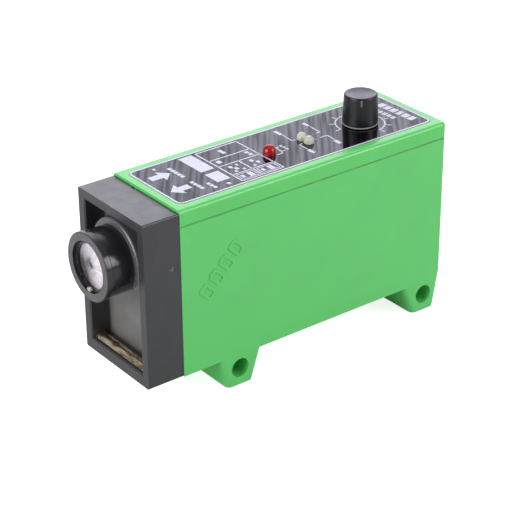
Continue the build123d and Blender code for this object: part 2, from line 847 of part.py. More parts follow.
emitter_length = 3.0
emitter_flange_radius = 2.9
emitter_board_front = block_rear + 1.0
small_board_thickness = 1.2
small_board_hole = 0.6
emitter_board_size = (16.0, 14.0)
receiver_board_size = (14.0, 14.0)
with BuildPart() as emitter_led:
    with BuildSketch(Plane.XZ.offset(-block_rear)):
        with Locations((0, lens_height)):
            Circle(emitter_radius)
    extrude(amount=emitter_length)
    with Locations((0, block_rear - emitter_length, lens_height)):
        Sphere(emitter_radius)
    with BuildSketch(Plane.XZ.offset(-emitter_board_front)):
        with Locations((0, lens_height)):
            Circle(emitter_flange_radius)
    extrude(amount=emitter_board_front - block_rear)
save("emitter_led", emitter_led)


# A small square board with a hole near each corner.
def small_board_outline(plane, centre, length, depth):
    hole_inset = 2.0
    with BuildSketch(plane) as outline:
        with Locations(centre):
            Rectangle(length, depth)
            with GridLocations(length - 2 * hole_inset, depth - 2 * hole_inset, 2, 2):
                Circle(small_board_hole, mode=Mode.SUBTRACT)
    return outline.sketch


with BuildPart() as emitter_board:
    emitter_board_plane = Plane.XZ.offset(-emitter_board_front - small_board_thickness)
    extrude(
        small_board_outline(emitter_board_plane, (0, lens_height), *emitter_board_size),
        amount=small_board_thickness,
    )
save("emitter_board", emitter_board)

receiver_height = 2.0
receiver_size = (5.2, 4.4)
receiver_chamfer = 0.3
receiver_board_top = block_bottom - receiver_height
with BuildPart() as receiver_photodiode:
    with BuildSketch(Plane.XY.offset(receiver_board_top)):
        with Locations((0, splitter_y)):
            Rectangle(*receiver_size)
    extrude(amount=receiver_height)
    chamfer(receiver_photodiode.faces().sort_by(Axis.Z)[-1].edges(), receiver_chamfer)
save("receiver_photodiode", receiver_photodiode)

with BuildPart() as receiver_board:
    receiver_board_plane = Plane.XY.offset(receiver_board_top - small_board_thickness)
    extrude(
        small_board_outline(receiver_board_plane, (0, splitter_y), *receiver_board_size),
        amount=small_board_thickness,
    )
save("receiver_board", receiver_board)

# ---- display board under the cover, with lamps and potentiometer ----
header_x = main_x + 1.3
header_count = 8
header_pitch = 2.0
header_y = 6.0
lamp_lead_spacing = 1.3
lead_radius = 0.25
lead_hole_radius = lead_radius + slip
lead_stub = 0.8
lamp_base = 48.6
output_lamp_height = 2.8
status_lamp_height = 2.1


def header_places():
    first = header_y - header_pitch * (header_count - 1) / 2
    return [(header_x, first + header_pitch * n) for n in range(header_count)]


def lamp_leads(x, y):
    return [(x - lamp_lead_spacing / 2, y), (x + lamp_lead_spacing / 2, y)]


lamps = [output_lamp] + [(x, status_lamp_y) for x in status_lamp_x]
display_corner = 1.0

with BuildPart() as display_board:
    with BuildSketch(Plane.XY.offset(display_bottom)):
        with Locations((0, (display_front + display_rear) / 2)):
            RectangleRounded(display_width, display_rear - display_front, display_corner)
        with Locations(*mirrored_pairs(post_x, post_y[1:])):
            Circle(post_radius + 3 * slip, mode=Mode.SUBTRACT)
        with Locations(*display_places):
            Circle(display_shank_radius + slip, mode=Mode.SUBTRACT)
        with Locations(*header_places()):
            Circle(lead_hole_radius, mode=Mode.SUBTRACT)
        for lamp in lamps:
            with Locations(*lamp_leads(*lamp)):
                Circle(lead_hole_radius, mode=Mode.SUBTRACT)
    extrude(amount=board_thickness)
save("display_board", display_board)

display_screw_length = 6.0
display_head_radius = 1.9
display_head_height = 1.3
with BuildPart() as display_screws:
    add_screws(
        Plane.XY.offset(display_bottom),
        display_places,
        display_shank_radius,
        display_screw_length,
        display_head_radius,
        display_head_height,
    )
save("display_screws", display_screws)


# A lamp is a domed cylinder that stands on two leads.
def add_lamp(x, y, radius, height, bottom):
    with BuildSketch(Plane.XY.offset(bottom)) as lamp:
        with Locations((x, y)):
            Circle(radius)
    extrude(lamp.sketch, amount=label_top + height - radius - bottom)
    with Locations((x, y, label_top + height - radius)):
        Sphere(radius)
    with BuildSketch(Plane.XY.offset(display_bottom - lead_stub)) as leads:
        with Locations(*lamp_leads(x, y)):
            Circle(lead_radius)
    extrude(leads.sketch, amount=bottom - display_bottom + lead_stub)


lamp_flange = 0.4
lamp_flange_height = 1.0
with BuildPart() as output_led:
    add_lamp(*output_lamp, output_lamp_radius, output_lamp_height, lamp_base)
    with BuildSketch(Plane.XY.offset(lamp_base)):
        with Locations(output_lamp):
            Circle(output_lamp_radius + lamp_flange)
    extrude(amount=lamp_flange_height)
save("output_led", output_led)

with BuildPart() as status_leds:
    for lamp_x in status_lamp_x:
        add_lamp(lamp_x, status_lamp_y, status_lamp_radius, status_lamp_height, lamp_base)
save("status_leds", status_leds)

# ---- sensitivity control: potentiometer, bush, seal, shaft and knob ----
pot_half = 4.9
pot_top = cover_under - 0.55
shaft_radius = 3.0
shaft_flat = 2.2
shaft_bottom = display_top + 1.2
wiper_radius = 4.0
wiper_height = 1.0
pot_corner = 0.5
knob_bottom = label_top + 0.3
knob_height = 9.0
knob_radius = 5.2
knob_top_radius = 4.8
knob_recess_radius = 4.75
knob_recess_depth = 0.8
knob_bore_depth = 7.5
knob_edge = 0.5
knob_foot = 0.25
shaft_reach = 7.2
flat_cut = 2.0
flat_x = knob_x + shaft_flat + flat_cut / 2

with BuildPart() as potentiometer_body:
    with BuildSketch(Plane.XY.offset(display_top)):
        with Locations((knob_x, knob_y)):
            Rectangle(2 * pot_half, 2 * pot_half)
    extrude(amount=pot_top - display_top)
    fillet(potentiometer_body.edges().filter_by(Axis.Z), pot_corner)
    with BuildSketch(Plane.XY.offset(shaft_bottom - slip)):
        with Locations((knob_x, knob_y)):
            Circle(wiper_radius + slip)
    extrude(amount=wiper_height + 2 * slip, mode=Mode.SUBTRACT)
    with BuildSketch(Plane.XY.offset(shaft_bottom)):
        with Locations((knob_x, knob_y)):
            Circle(shaft_radius + running)
    extrude(amount=pot_top - shaft_bottom, mode=Mode.SUBTRACT)
save("potentiometer_body", potentiometer_body)

with BuildPart() as potentiometer_shaft:
    with BuildSketch(Plane.XY.offset(shaft_bottom)):
        with Locations((knob_x, knob_y)):
            Circle(wiper_radius)
    extrude(amount=wiper_height)
    with BuildSketch(Plane.XY.offset(shaft_bottom)):
        with Locations((knob_x, knob_y)):
            Circle(shaft_radius)
    extrude(amount=knob_bottom + shaft_reach - shaft_bottom)
    # Flat that keys the knob.
    with BuildSketch(Plane.XY.offset(knob_bottom + knob_recess_depth)):
        with Locations((flat_x, knob_y)):
            Rectangle(flat_cut, 2 * shaft_radius)
    extrude(amount=shaft_reach - knob_recess_depth, mode=Mode.SUBTRACT)
save("potentiometer_shaft", potentiometer_shaft)

bush_flange_top = label_bottom + 0.6
seal_radius = 0.4
seal_groove_bottom = cover_under + 0.7
seal_groove_height = 0.9
seal_groove_radius = 3.9
bush_rim_gap = 0.15
with BuildPart() as knob_bush:
    with BuildSketch(Plane.XY.offset(cover_under)):
        with Locations((knob_x, knob_y)):
            Circle(knob_bush_radius)
    extrude(amount=bush_flange_top - cover_under)
    with BuildSketch(Plane.XY.offset(label_bottom)):
        with Locations((knob_x, knob_y)):
            Circle(knob_recess_radius - bush_rim_gap)
    extrude(amount=bush_flange_top - label_bottom)
    with BuildSketch(Plane.XY.offset(cover_under)):
        with Locations((knob_x, knob_y)):
            Circle(shaft_radius + running)
    extrude(amount=bush_flange_top - cover_under, mode=Mode.SUBTRACT)
    with BuildSketch(Plane.XY.offset(seal_groove_bottom)):
        with Locations((knob_x, knob_y)):
            Circle(seal_groove_radius)
    extrude(amount=seal_groove_height, mode=Mode.SUBTRACT)
save("knob_bush", knob_bush)

with BuildPart() as shaft_seal:
    with Locations((knob_x, knob_y, seal_groove_bottom + seal_groove_height / 2)):
        Torus(shaft_radius + running + seal_radius, seal_radius)
save("shaft_seal", shaft_seal)

pointer_width = 0.55
pointer_height = 1.9
pointer_drop = 0.5
pointer_inner = 4.2
pointer_angle = -37.0


# The knob's outside is a cone with a rounded top edge.
def add_knob_body():
    with BuildSketch(Plane.XY.offset(knob_bottom)) as foot_circle:
        with Locations((knob_x, knob_y)):
            Circle(knob_radius)
    with BuildSketch(Plane.XY.offset(knob_bottom + knob_height)) as top_circle:
        with Locations((knob_x, knob_y)):
            Circle(knob_top_radius)
    loft([foot_circle.sketch, top_circle.sketch])


# The pointer is an inlay in the knob's side; grow widens it into the groove that holds it.
def pointer_outline(grow):
    bottom = knob_bottom + knob_height - pointer_drop - pointer_height - grow
    plane = Plane(origin=(knob_x, knob_y, bottom)).rotated((0, 0, pointer_angle))
    with BuildSketch(plane) as outline:
        with Locations((pointer_inner - grow + knob_radius / 2, 0)):
            Rectangle(knob_radius, pointer_width + 2 * grow)
    return outline.sketch


with BuildPart() as knob:
    add_knob_body()
    fillet(knob.faces().sort_by(Axis.Z)[-1].edges(), knob_edge)
    chamfer(knob.faces().sort_by(Axis.Z)[0].edges(), knob_foot)
    with BuildSketch(Plane.XY.offset(knob_bottom)):
        with Locations((knob_x, knob_y)):
            Circle(knob_recess_radius)
    extrude(amount=knob_recess_depth, mode=Mode.SUBTRACT)
    # D-shaped bore on the shaft.
    with BuildSketch(Plane.XY.offset(knob_bottom + knob_recess_depth)):
        with Locations((knob_x, knob_y)):
            Circle(shaft_radius + hair)
        with Locations((flat_x + hair, knob_y)):
            Rectangle(flat_cut, 3 * shaft_radius, mode=Mode.SUBTRACT)
    extrude(amount=knob_bore_depth - knob_recess_depth, mode=Mode.SUBTRACT)
    extrude(pointer_outline(hair), amount=pointer_height + 2 * hair, mode=Mode.SUBTRACT)
save("knob", knob)

with BuildPart() as knob_pointer:
    add_knob_body()
    extrude(pointer_outline(0), amount=pointer_height, mode=Mode.INTERSECT)
save("knob_pointer", knob_pointer)

# ---- main board with its components, standing in the rails ----
board_face = Plane(origin=(main_x, 0, 0), x_dir=(0, 1, 0), z_dir=(1, 0, 0))
board_corner = 0.8
chip_place = (6.0, 24.0)
regulator_place = (-9.0, 16.0)
transistor_places = [(-9.0, 34.0), (-1.0, 35.5)]
capacitor_places = [(-9.0, 24.5), (-2.0, 13.5)]
wire_places = [(20.0, 15.0), (20.0, 12.0), (20.0, 33.0), (20.0, 36.0)]

with BuildPart() as main_board:
    with BuildSketch(board_face.offset(-board_thickness)):
        with Locations(((main_front + main_rear) / 2, (main_bottom + main_top) / 2)):
            Rectangle(main_rear - main_front, main_top - main_bottom)
    extrude(amount=board_thickness)
    fillet(main_board.edges().filter_by(Axis.X), board_corner)
save("main_board", main_board)

header_side = 2 * (header_x - main_x)
header_drop = 1.4
header_centre = main_top - header_drop
header_pin = 0.5
with BuildPart() as board_connector:
    with BuildSketch(board_face):
        with Locations((header_y, header_centre)):
            Rectangle(header_pitch * header_count, header_side)
    extrude(amount=header_side)
    with BuildSketch(Plane.XY.offset(header_centre)):
        with Locations(*header_places()):
            Rectangle(header_pin, header_pin)
    extrude(amount=display_top + lead_stub - header_centre)
save("board_connector", board_connector)


# A chip is a flat body with rows of legs along two or four sides.
leg_width = 0.45
leg_length = 1.8
leg_thickness = 0.4
leg_reach = 0.7
chip_gap = 0.15

# Length, height and thickness of each kind of chip body.
processor_size = (10.0, 10.0, 1.4)
regulator_size = (6.6, 6.0, 2.3)
transistor_size = (5.0, 3.6, 1.6)


def add_chip(place, size, legs, pitch, four_sides):
    length, height, thickness = size
    with BuildSketch(board_face.offset(chip_gap)) as chip_body:
        with Locations(place):
            Rectangle(length, height)
    extrude(chip_body.sketch, amount=thickness)
    with BuildSketch(board_face) as chip_legs:
        with Locations(place):
            with GridLocations(pitch, height + 2 * leg_reach, legs, 2):
                Rectangle(leg_width, leg_length)
            if four_sides:
                with GridLocations(length + 2 * leg_reach, pitch, 2, legs):
                    Rectangle(leg_length, leg_width)
    extrude(chip_legs.sketch, amount=leg_thickness)


with BuildPart() as processor_chip:
    add_chip(chip_place, processor_size, legs=8, pitch=1.1, four_sides=True)
save("processor_chip", processor_chip)

with BuildPart() as voltage_regulator:
    add_chip(regulator_place, regulator_size, legs=3, pitch=2.2, four_sides=False)
save("voltage_regulator", voltage_regulator)

with BuildPart() as output_transistors:
    for transistor_place in transistor_places:
        add_chip(transistor_place, transistor_size, legs=3, pitch=1.6, four_sides=False)
save("output_transistors", output_transistors)

can_radius = 2.5
can_height = 5.0
can_foot = 0.8
can_foot_side = 5.2
can_foot_corner = 0.6
with BuildPart() as capacitors:
    with BuildSketch(board_face):
        with Locations(*capacitor_places):
            RectangleRounded(can_foot_side, can_foot_side, can_foot_corner)
    extrude(amount=can_foot)
    with BuildSketch(board_face.offset(can_foot)):
        with Locations(*capacitor_places):
            Circle(can_radius)
    extrude(amount=can_height)
save("capacitors", capacitors)

# ---- plug at the rear: shell, insert, pins, seal, nut and wires ----
seal_thickness = 0.6
flange_thickness = 1.2
flange_rear = plug_pocket_floor + seal_thickness + flange_thickness
shell_radius = plug_radius - 0.2
flange_radius = plug_pocket_radius - 0.2
thread_chamfer = 0.4
shell_front = 29.5
insert_front = 28.5
insert_rear = rear - 2.0
plug_bore = 4.4
pin_circle = 2.4
pin_radius = 0.5
nut_thickness = 2.4
nut_half = 7.5

# The coupling thread stands behind a relief groove; the shell inside the wall is slimmer.
relief_rear = rear + 1.1
with BuildPart() as plug_shell:
    add_tube(plug_height, shell_front, relief_rear, shell_radius, plug_bore)
    add_tube(plug_height, relief_rear, plug_end, plug_radius, plug_bore)
    chamfer(plug_shell.faces().sort_by(Axis.Y)[-1].edges(), thread_chamfer)
    add_tube(plug_height, flange_rear - flange_thickness, flange_rear, flange_radius, plug_bore)
save("plug_shell", plug_shell)

with BuildPart() as plug_seal:
    add_tube(
        plug_height,
        plug_pocket_floor,
        plug_pocket_floor + seal_thickness,
        flange_radius - 2 * slip,
        shell_radius + hair,
    )
save("plug_seal", plug_seal)

key_slot_width = 1.2
key_slot_depth = 1.5

with BuildPart() as plug_insert:
    with BuildSketch(Plane.XZ.offset(-insert_rear)):
        with Locations((0, plug_height)):
            Circle(plug_bore - running)
    extrude(amount=insert_rear - insert_front)
    with BuildSketch(Plane.XZ.offset(-insert_rear)):
        with Locations((0, plug_height)):
            with PolarLocations(pin_circle, 4, start_angle=45):
                Circle(pin_radius + hair)
    extrude(amount=insert_rear - insert_front, mode=Mode.SUBTRACT)
    with BuildSketch(Plane.XZ.offset(-insert_rear)):
        with Locations((0, plug_height + plug_bore)):
            Rectangle(key_slot_width, 2 * key_slot_width)
    extrude(amount=key_slot_depth, mode=Mode.SUBTRACT)
save("plug_insert", plug_insert)

pin_rear = plug_end - 1.0
pin_round = 0.2
solder_end = insert_front - 2.0
with BuildPart() as plug_pins:
    with BuildSketch(Plane.XZ.offset(-pin_rear)):
        with Locations((0, plug_height)):
            with PolarLocations(pin_circle, 4, start_angle=45):
                Circle(pin_radius)
    extrude(amount=pin_rear - solder_end)
    fillet(plug_pins.edges().group_by(Axis.Y)[-1], pin_round)
save("plug_pins", plug_pins)

with BuildPart() as plug_nut:
    with BuildSketch(Plane.XZ.offset(-plug_boss_front)):
        with Locations((0, plug_height)):
            RegularPolygon(nut_half, 6, major_radius=False)
            Circle(shell_radius + hair, mode=Mode.SUBTRACT)
    extrude(amount=nut_thickness)
save("plug_nut", plug_nut)

wire_radius = 0.5
pin_offset = pin_circle / 2**0.5
pin_places = mirrored_pairs(pin_offset, (plug_height - pin_offset, plug_height + pin_offset))


# A wire leaves along start_way and lands on the board's face along -X.
def add_wire(start, start_way, end):
    with BuildLine() as path:
        Spline(start, end, tangents=[start_way, (-1, 0, 0)])
    with BuildSketch(Plane(origin=start, z_dir=start_way)) as section:
        Circle(wire_radius)
    sweep(section.sketch, path=path.line)


with BuildPart() as wire_harness:
    for (pin_x, pin_z), (wire_y, wire_z) in zip(pin_places, wire_places):
        add_wire((pin_x, solder_end, pin_z), (0, -1, 0), (main_x, wire_y, wire_z))
save("wire_harness", wire_harness)

emitter_wire_start = emitter_board_front + small_board_thickness
emitter_wire_heights = (33.0, 36.0)
emitter_wire_drop = 3.5
emitter_wire_x = 1.5
emitter_wire_inset = 2.0
with BuildPart() as emitter_wires:
    for wire_z in emitter_wire_heights:
        add_wire(
            (emitter_wire_x, emitter_wire_start, wire_z),
            (0, 1, 0),
            (main_x, main_front + emitter_wire_inset, wire_z - emitter_wire_drop),
        )
save("emitter_wires", emitter_wires)
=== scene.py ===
import math

import bmesh
import bpy
from mathutils import Matrix, Vector, noise


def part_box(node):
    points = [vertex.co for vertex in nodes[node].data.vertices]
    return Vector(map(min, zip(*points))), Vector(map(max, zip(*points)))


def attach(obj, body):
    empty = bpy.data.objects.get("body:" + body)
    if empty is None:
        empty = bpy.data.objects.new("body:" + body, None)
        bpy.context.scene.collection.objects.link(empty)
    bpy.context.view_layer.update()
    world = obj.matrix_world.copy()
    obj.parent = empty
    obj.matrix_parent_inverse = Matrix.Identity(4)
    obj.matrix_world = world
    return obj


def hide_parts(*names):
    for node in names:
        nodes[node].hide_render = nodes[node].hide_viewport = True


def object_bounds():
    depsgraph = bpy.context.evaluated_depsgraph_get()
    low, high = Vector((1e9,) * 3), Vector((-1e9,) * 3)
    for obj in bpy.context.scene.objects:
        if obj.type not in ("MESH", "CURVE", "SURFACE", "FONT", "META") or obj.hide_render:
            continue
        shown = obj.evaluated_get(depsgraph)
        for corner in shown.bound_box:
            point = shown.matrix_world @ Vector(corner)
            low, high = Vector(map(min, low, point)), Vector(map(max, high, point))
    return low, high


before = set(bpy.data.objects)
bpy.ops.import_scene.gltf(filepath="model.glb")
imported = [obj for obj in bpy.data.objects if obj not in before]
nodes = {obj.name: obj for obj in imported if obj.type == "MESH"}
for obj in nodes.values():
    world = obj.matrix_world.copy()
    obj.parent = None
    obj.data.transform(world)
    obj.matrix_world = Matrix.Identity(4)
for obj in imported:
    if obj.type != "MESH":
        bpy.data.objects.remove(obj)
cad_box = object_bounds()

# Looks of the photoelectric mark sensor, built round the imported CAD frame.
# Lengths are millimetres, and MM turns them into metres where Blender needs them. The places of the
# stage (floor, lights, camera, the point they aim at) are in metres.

MM = 0.001
SHARP = math.radians(35)


def box_mm(node):
    """Low and high corner of a CAD node, in millimetres."""
    low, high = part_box(node)
    return low / MM, high / MM


# ---------------- shaders

class Shader:
    """A Principled material with short calls for procedural detail."""

    def __init__(self, name, colour, roughness, metallic=0.0):
        self.material = bpy.data.materials.new(name)
        self.material.use_nodes = True
        self.material.diffuse_color = (*colour, 1)
        self.tree = self.material.node_tree
        self.bsdf = self.tree.nodes["Principled BSDF"]
        self.bsdf.inputs["Base Color"].default_value = (*colour, 1)
        self.bsdf.inputs["Roughness"].default_value = roughness
        self.bsdf.inputs["Metallic"].default_value = metallic
        self.place = self.node("ShaderNodeTexCoord").outputs["Object"]

    def node(self, kind, **settings):
        """Adds a shader node and sets its plain properties."""
        made = self.tree.nodes.new(kind)
        for key, value in settings.items():
            setattr(made, key, value)
        return made

    def link(self, source, target):
        self.tree.links.new(source, target)

    def set(self, **values):
        """Sets inputs of the Principled shader, with _ for the spaces in their names."""
        for key, value in values.items():
            self.bsdf.inputs[key.replace("_", " ")].default_value = value

    def stretched(self, stretch=(1, 1, 1), turn=0.0):
        """Coordinates that draw a texture out by a factor along each axis, after a turn about Z."""
        mapping = self.node("ShaderNodeMapping", vector_type="TEXTURE")
        mapping.inputs["Scale"].default_value = stretch
        mapping.inputs["Rotation"].default_value = (0, 0, turn)
        self.link(self.place, mapping.inputs["Vector"])
        return mapping.outputs["Vector"]

    def noise(self, size, detail=3.0, rough=0.5, vector=None):
        """Noise whose blobs are about size millimetres across."""
        texture = self.node("ShaderNodeTexNoise")
        texture.inputs["Scale"].default_value = 1 / (size * MM)
        texture.inputs["Detail"].default_value = detail
        texture.inputs["Roughness"].default_value = rough
        self.link(vector or self.place, texture.inputs["Vector"])
        return texture.outputs["Fac"]

    def axis(self, name):
        """Place along X, Y or Z in metres."""
        split = self.node("ShaderNodeSeparateXYZ")
        self.link(self.place, split.inputs[0])
        return split.outputs[name]

    def remap(self, value, low, high, to_low=0.0, to_high=1.0):
        """Maps low..high to to_low..to_high and clamps the result; low may be the larger of the two."""
        ranged = self.node("ShaderNodeMapRange", clamp=True)
        self.link(value, ranged.inputs["Value"])
        ranged.inputs["From Min"].default_value = low
        ranged.inputs["From Max"].default_value = high
        ranged.inputs["To Min"].default_value = to_low
        ranged.inputs["To Max"].default_value = to_high
        return ranged.outputs["Result"]

    def math(self, operation, first, second=None):
        done = self.node("ShaderNodeMath", operation=operation)
        for socket, value in zip(done.inputs, (first, second)):
            if hasattr(value, "links"):
                self.link(value, socket)
            elif value is not None:
                socket.default_value = value
        return done.outputs[0]

    def mix(self, factor, first, second):
        """Mixes two colours, given as tuples or sockets."""
        mixer = self.node("ShaderNodeMix", data_type="RGBA")
        if hasattr(factor, "links"):
            self.link(factor, mixer.inputs["Factor"])
        else:
            mixer.inputs["Factor"].default_value = factor
        for socket, colour in ((mixer.inputs[6], first), (mixer.inputs[7], second)):
            if hasattr(colour, "links"):
                self.link(colour, socket)
            else:
                socket.default_value = (*colour, 1)
        return mixer.outputs[2]

    def edges(self, radius):
        """Near 1 on convex and concave edges, 0 on open faces."""
        bevel = self.node("ShaderNodeBevel", samples=4)
        bevel.inputs["Radius"].default_value = radius * MM
        geometry = self.node("ShaderNodeNewGeometry")
        dot = self.node("ShaderNodeVectorMath", operation="DOT_PRODUCT")
        self.link(bevel.outputs["Normal"], dot.inputs[0])
        self.link(geometry.outputs["Normal"], dot.inputs[1])
        return self.remap(dot.outputs["Value"], 1.0, 0.85)

    def bump(self, height, depth, under=None):
        """Bump whose height swing of 1 stands for depth millimetres."""
        bump = self.node("ShaderNodeBump")
        bump.inputs["Distance"].default_value = depth * MM
        self.link(height, bump.inputs["Height"])
        if under is not None:
            self.link(under, bump.inputs["Normal"])
        self.link(bump.outputs["Normal"], self.bsdf.inputs["Normal"])
        return bump.outputs["Normal"]

    def colour(self, socket):
        self.link(socket, self.bsdf.inputs["Base Color"])

    def roughness(self, socket):
        self.link(socket, self.bsdf.inputs["Roughness"])

    def metallic(self, socket):
        self.link(socket, self.bsdf.inputs["Metallic"])


def shade(colour, factor):
    return tuple(min(1.0, channel * factor) for channel in colour)


def enamel(name, colour, gloss, coat):
    """Sprayed enamel on a die casting: faint orange peel, mottled tone, rubbed edges."""
    s = Shader(name, colour, gloss)
    cloud = s.remap(s.noise(16.0, 3), 0.35, 0.65)
    fine = s.remap(s.noise(1.1, 2), 0.3, 0.7)
    tone = s.mix(cloud, shade(colour, 0.975), shade(colour, 1.02))
    tone = s.mix(s.math("MULTIPLY", fine, 0.08), tone, shade(colour, 1.12))
    rubbed = s.math("MULTIPLY", s.edges(0.35), s.remap(s.noise(2.6, 4), 0.42, 0.7))
    tone = s.mix(s.math("MULTIPLY", rubbed, 0.35), tone, shade(colour, 1.5))
    # Dirt that has settled in the seam between housing and cover.
    off_seam = s.math("ABSOLUTE", s.math("SUBTRACT", s.axis("Z"), SEAM_HEIGHT * MM))
    near_seam = s.remap(off_seam, 0.32 * MM, 0.08 * MM)
    patchy = s.remap(s.noise(4.0, 3), 0.2, 0.6, 0.45, 0.9)
    s.colour(s.mix(s.math("MULTIPLY", near_seam, patchy), tone, shade(colour, 0.42)))
    s.roughness(s.remap(s.noise(5.0, 4), 0.3, 0.7, gloss - 0.05, gloss + 0.08))
    peel = s.bump(s.noise(0.9, 2), 0.012)
    s.bump(s.noise(0.16, 1), 0.002, peel)
    s.set(Coat_Weight=coat, Coat_Roughness=0.2)
    return s.material


def moulded(name, colour, rough, grain=0.14, depth=0.006, wear=1.35, coat=0.0, painted_lit_wall=None):
    """Moulded plastic with a fine grain and rubbed edges.

    The wall argument, where given, is (low corner, high corner, colour) of a box inside the piece that is
    painted paler: painted light on the lit back wall of a recess.
    """
    s = Shader(name, colour, rough)
    s.set(Coat_Weight=coat, Coat_Roughness=0.25)
    cloud = s.remap(s.noise(9.0, 4), 0.35, 0.65)
    tone = s.mix(cloud, shade(colour, 0.92), shade(colour, 1.08))
    if painted_lit_wall is not None:
        low, high, lit_wall_colour = painted_lit_wall
        inside = 1.0
        for axis, start, end in zip("XYZ", low, high):
            place = s.axis(axis)
            inside = s.math("MULTIPLY", inside, s.math("GREATER_THAN", place, start * MM))
            inside = s.math("MULTIPLY", inside, s.math("LESS_THAN", place, end * MM))
        # Painted light: inside the box the plastic takes the paler grey of the lit wall.
        patch = s.mix(s.noise(4.0, 4), shade(lit_wall_colour, 0.8), shade(lit_wall_colour, 1.2))
        tone = s.mix(inside, tone, patch)
    rubbed = s.math("MULTIPLY", s.edges(0.25), s.remap(s.noise(1.8, 4), 0.4, 0.68))
    s.colour(s.mix(s.math("MULTIPLY", rubbed, 0.5), tone, shade(colour, wear)))
    s.roughness(s.remap(s.noise(3.0, 4), 0.3, 0.7, rough - 0.06, rough + 0.08))
    coarse = s.bump(s.noise(grain * 5, 2), depth * 1.5)
    s.bump(s.noise(grain, 2), depth, coarse)
    return s.material


def machined(name, colour, rough, axis_stretch=(1, 1, 1)):
    """Turned or drawn metal with fine tool marks."""
    scratch = 0.004
    s = Shader(name, colour, rough, metallic=1.0)
    marks = s.noise(0.18, 4, 0.6, s.stretched(axis_stretch))
    tint = s.mix(s.remap(s.noise(2.5, 4), 0.3, 0.7), shade(colour, 0.82), shade(colour, 1.06))
    s.colour(s.mix(s.math("MULTIPLY", s.edges(0.15), 0.4), tint, shade(colour, 1.25)))
    s.roughness(s.remap(marks, 0.3, 0.7, max(0.05, rough - 0.08), rough + 0.12))
    s.bump(marks, scratch)
    return s.material


def tarnished_brass(name):
    """Brass bar polished by hand, with dark stains and dull patches."""
    clean = (0.85, 0.74, 0.5)
    stained = (0.16, 0.12, 0.06)
    worn_edge = (0.95, 0.85, 0.6)
    s = Shader(name, (0.8, 0.66, 0.4), 0.25, metallic=1.0)
    stain = s.remap(s.noise(1.6, 5, 0.65, s.stretched((2.5, 1, 1))), 0.42, 0.6)
    marks = s.noise(0.18, 4, 0.6, s.stretched((14, 1, 1)))
    tone = s.mix(stain, clean, stained)
    s.colour(s.mix(s.math("MULTIPLY", s.edges(0.15), 0.4), tone, worn_edge))
    s.roughness(s.remap(stain, 0.0, 1.0, 0.18, 0.5))
    s.bump(marks, 0.004)
    return s.material


def anodised(name, colour, rough):
    """Black anodised aluminium: dark, semi-gloss, with fine turning rings round the barrel."""
    s = Shader(name, colour, rough)
    s.set(Metallic=0.25, Specular_IOR_Level=0.6)
    rings = s.noise(0.22, 2, 0.5, s.stretched((12, 1, 12)))
    tone = s.mix(s.remap(s.noise(4.0, 3), 0.3, 0.7), shade(colour, 0.85), shade(colour, 1.15))
    rubbed = s.math("MULTIPLY", s.edges(0.2), s.remap(s.noise(1.2, 3), 0.4, 0.65))
    bare_metal = (0.3, 0.3, 0.31)
    s.colour(s.mix(s.math("MULTIPLY", rubbed, 0.5), tone, bare_metal))
    s.roughness(s.remap(s.noise(1.6, 4), 0.3, 0.7, rough - 0.05, rough + 0.07))
    s.bump(rings, 0.0012)
    return s.material


def rubber(name):
    """Matt black rubber with a fine grain."""
    s = Shader(name, (0.018, 0.018, 0.018), 0.7)
    s.colour(s.mix(s.remap(s.noise(2.0, 4), 0.3, 0.7), (0.014, 0.014, 0.014), (0.03, 0.03, 0.03)))
    s.bump(s.noise(0.12, 3), 0.006)
    return s.material


def film(name):
    """The mirror-glossy black film of the label, with slanting streaks in its lacquer."""
    streak_length = 22
    streak_turn = math.radians(-37.3)
    s = Shader(name, (0.006, 0.006, 0.009), 0.05)
    streaks = s.noise(1.0, 1.5, 0.4, s.stretched((streak_length, 1, 1), streak_turn))
    streak = s.remap(streaks, 0.36, 0.64)
    cloud = s.remap(s.noise(7.0, 2), 0.35, 0.65)
    s.colour(s.mix(cloud, (0.0015, 0.0015, 0.002), (0.006, 0.0055, 0.008)))
    s.link(s.remap(streak, 0.0, 1.0, 1.25, 1.6), s.bsdf.inputs["IOR"])
    s.set(Specular_Tint=(0.74, 0.78, 1.0, 1))
    s.roughness(s.remap(s.noise(1.5, 3), 0.3, 0.7, 0.02, 0.06))
    s.bump(s.noise(2.2, 1), 0.0006)
    return s.material


def ink(name, colour):
    """Screen-printed ink with a slightly uneven cover."""
    s = Shader(name, colour, 0.35)
    s.colour(s.mix(s.remap(s.noise(0.5, 4), 0.3, 0.7), shade(colour, 0.86), shade(colour, 1.04)))
    s.roughness(s.remap(s.noise(0.8, 3), 0.3, 0.7, 0.25, 0.45))
    s.bump(s.noise(0.1, 2), 0.002)
    return s.material


def resin(name, colour, deep, transmission):
    """Tinted lamp resin with cloudy depth."""
    s = Shader(name, colour, 0.16)
    cloudy = s.remap(s.noise(0.9, 3), 0.3, 0.7)
    s.colour(s.mix(cloudy, colour, deep))
    s.roughness(s.remap(s.noise(0.6, 3), 0.3, 0.7, 0.1, 0.22))
    s.bump(s.noise(0.4, 2), 0.002)
    s.set(Transmission_Weight=transmission, Subsurface_Weight=0.25, IOR=1.5)
    s.bsdf.inputs["Subsurface Radius"].default_value = (0.0012, 0.0004, 0.0004)
    return s.material


def lamp_on_leads(name, colour, deep, transmission, foot_height):
    """Lamp resin above foot_height, tinned leads below it."""
    s = Shader(name, colour, 0.16)
    cloudy = s.remap(s.noise(0.9, 3), 0.3, 0.7)
    resin_colour = s.mix(cloudy, colour, deep)
    below = s.remap(s.axis("Z"), foot_height * MM, foot_height * MM - 1e-5)
    s.colour(s.mix(below, resin_colour, (0.7, 0.7, 0.68)))
    s.metallic(below)
    above = s.math("SUBTRACT", 1.0, below)
    s.link(s.math("MULTIPLY", above, transmission), s.bsdf.inputs["Transmission Weight"])
    s.roughness(s.remap(s.noise(0.6, 3), 0.3, 0.7, 0.08, 0.2))
    s.bump(s.noise(0.4, 2), 0.0015)
    s.set(IOR=1.5)
    return s.material


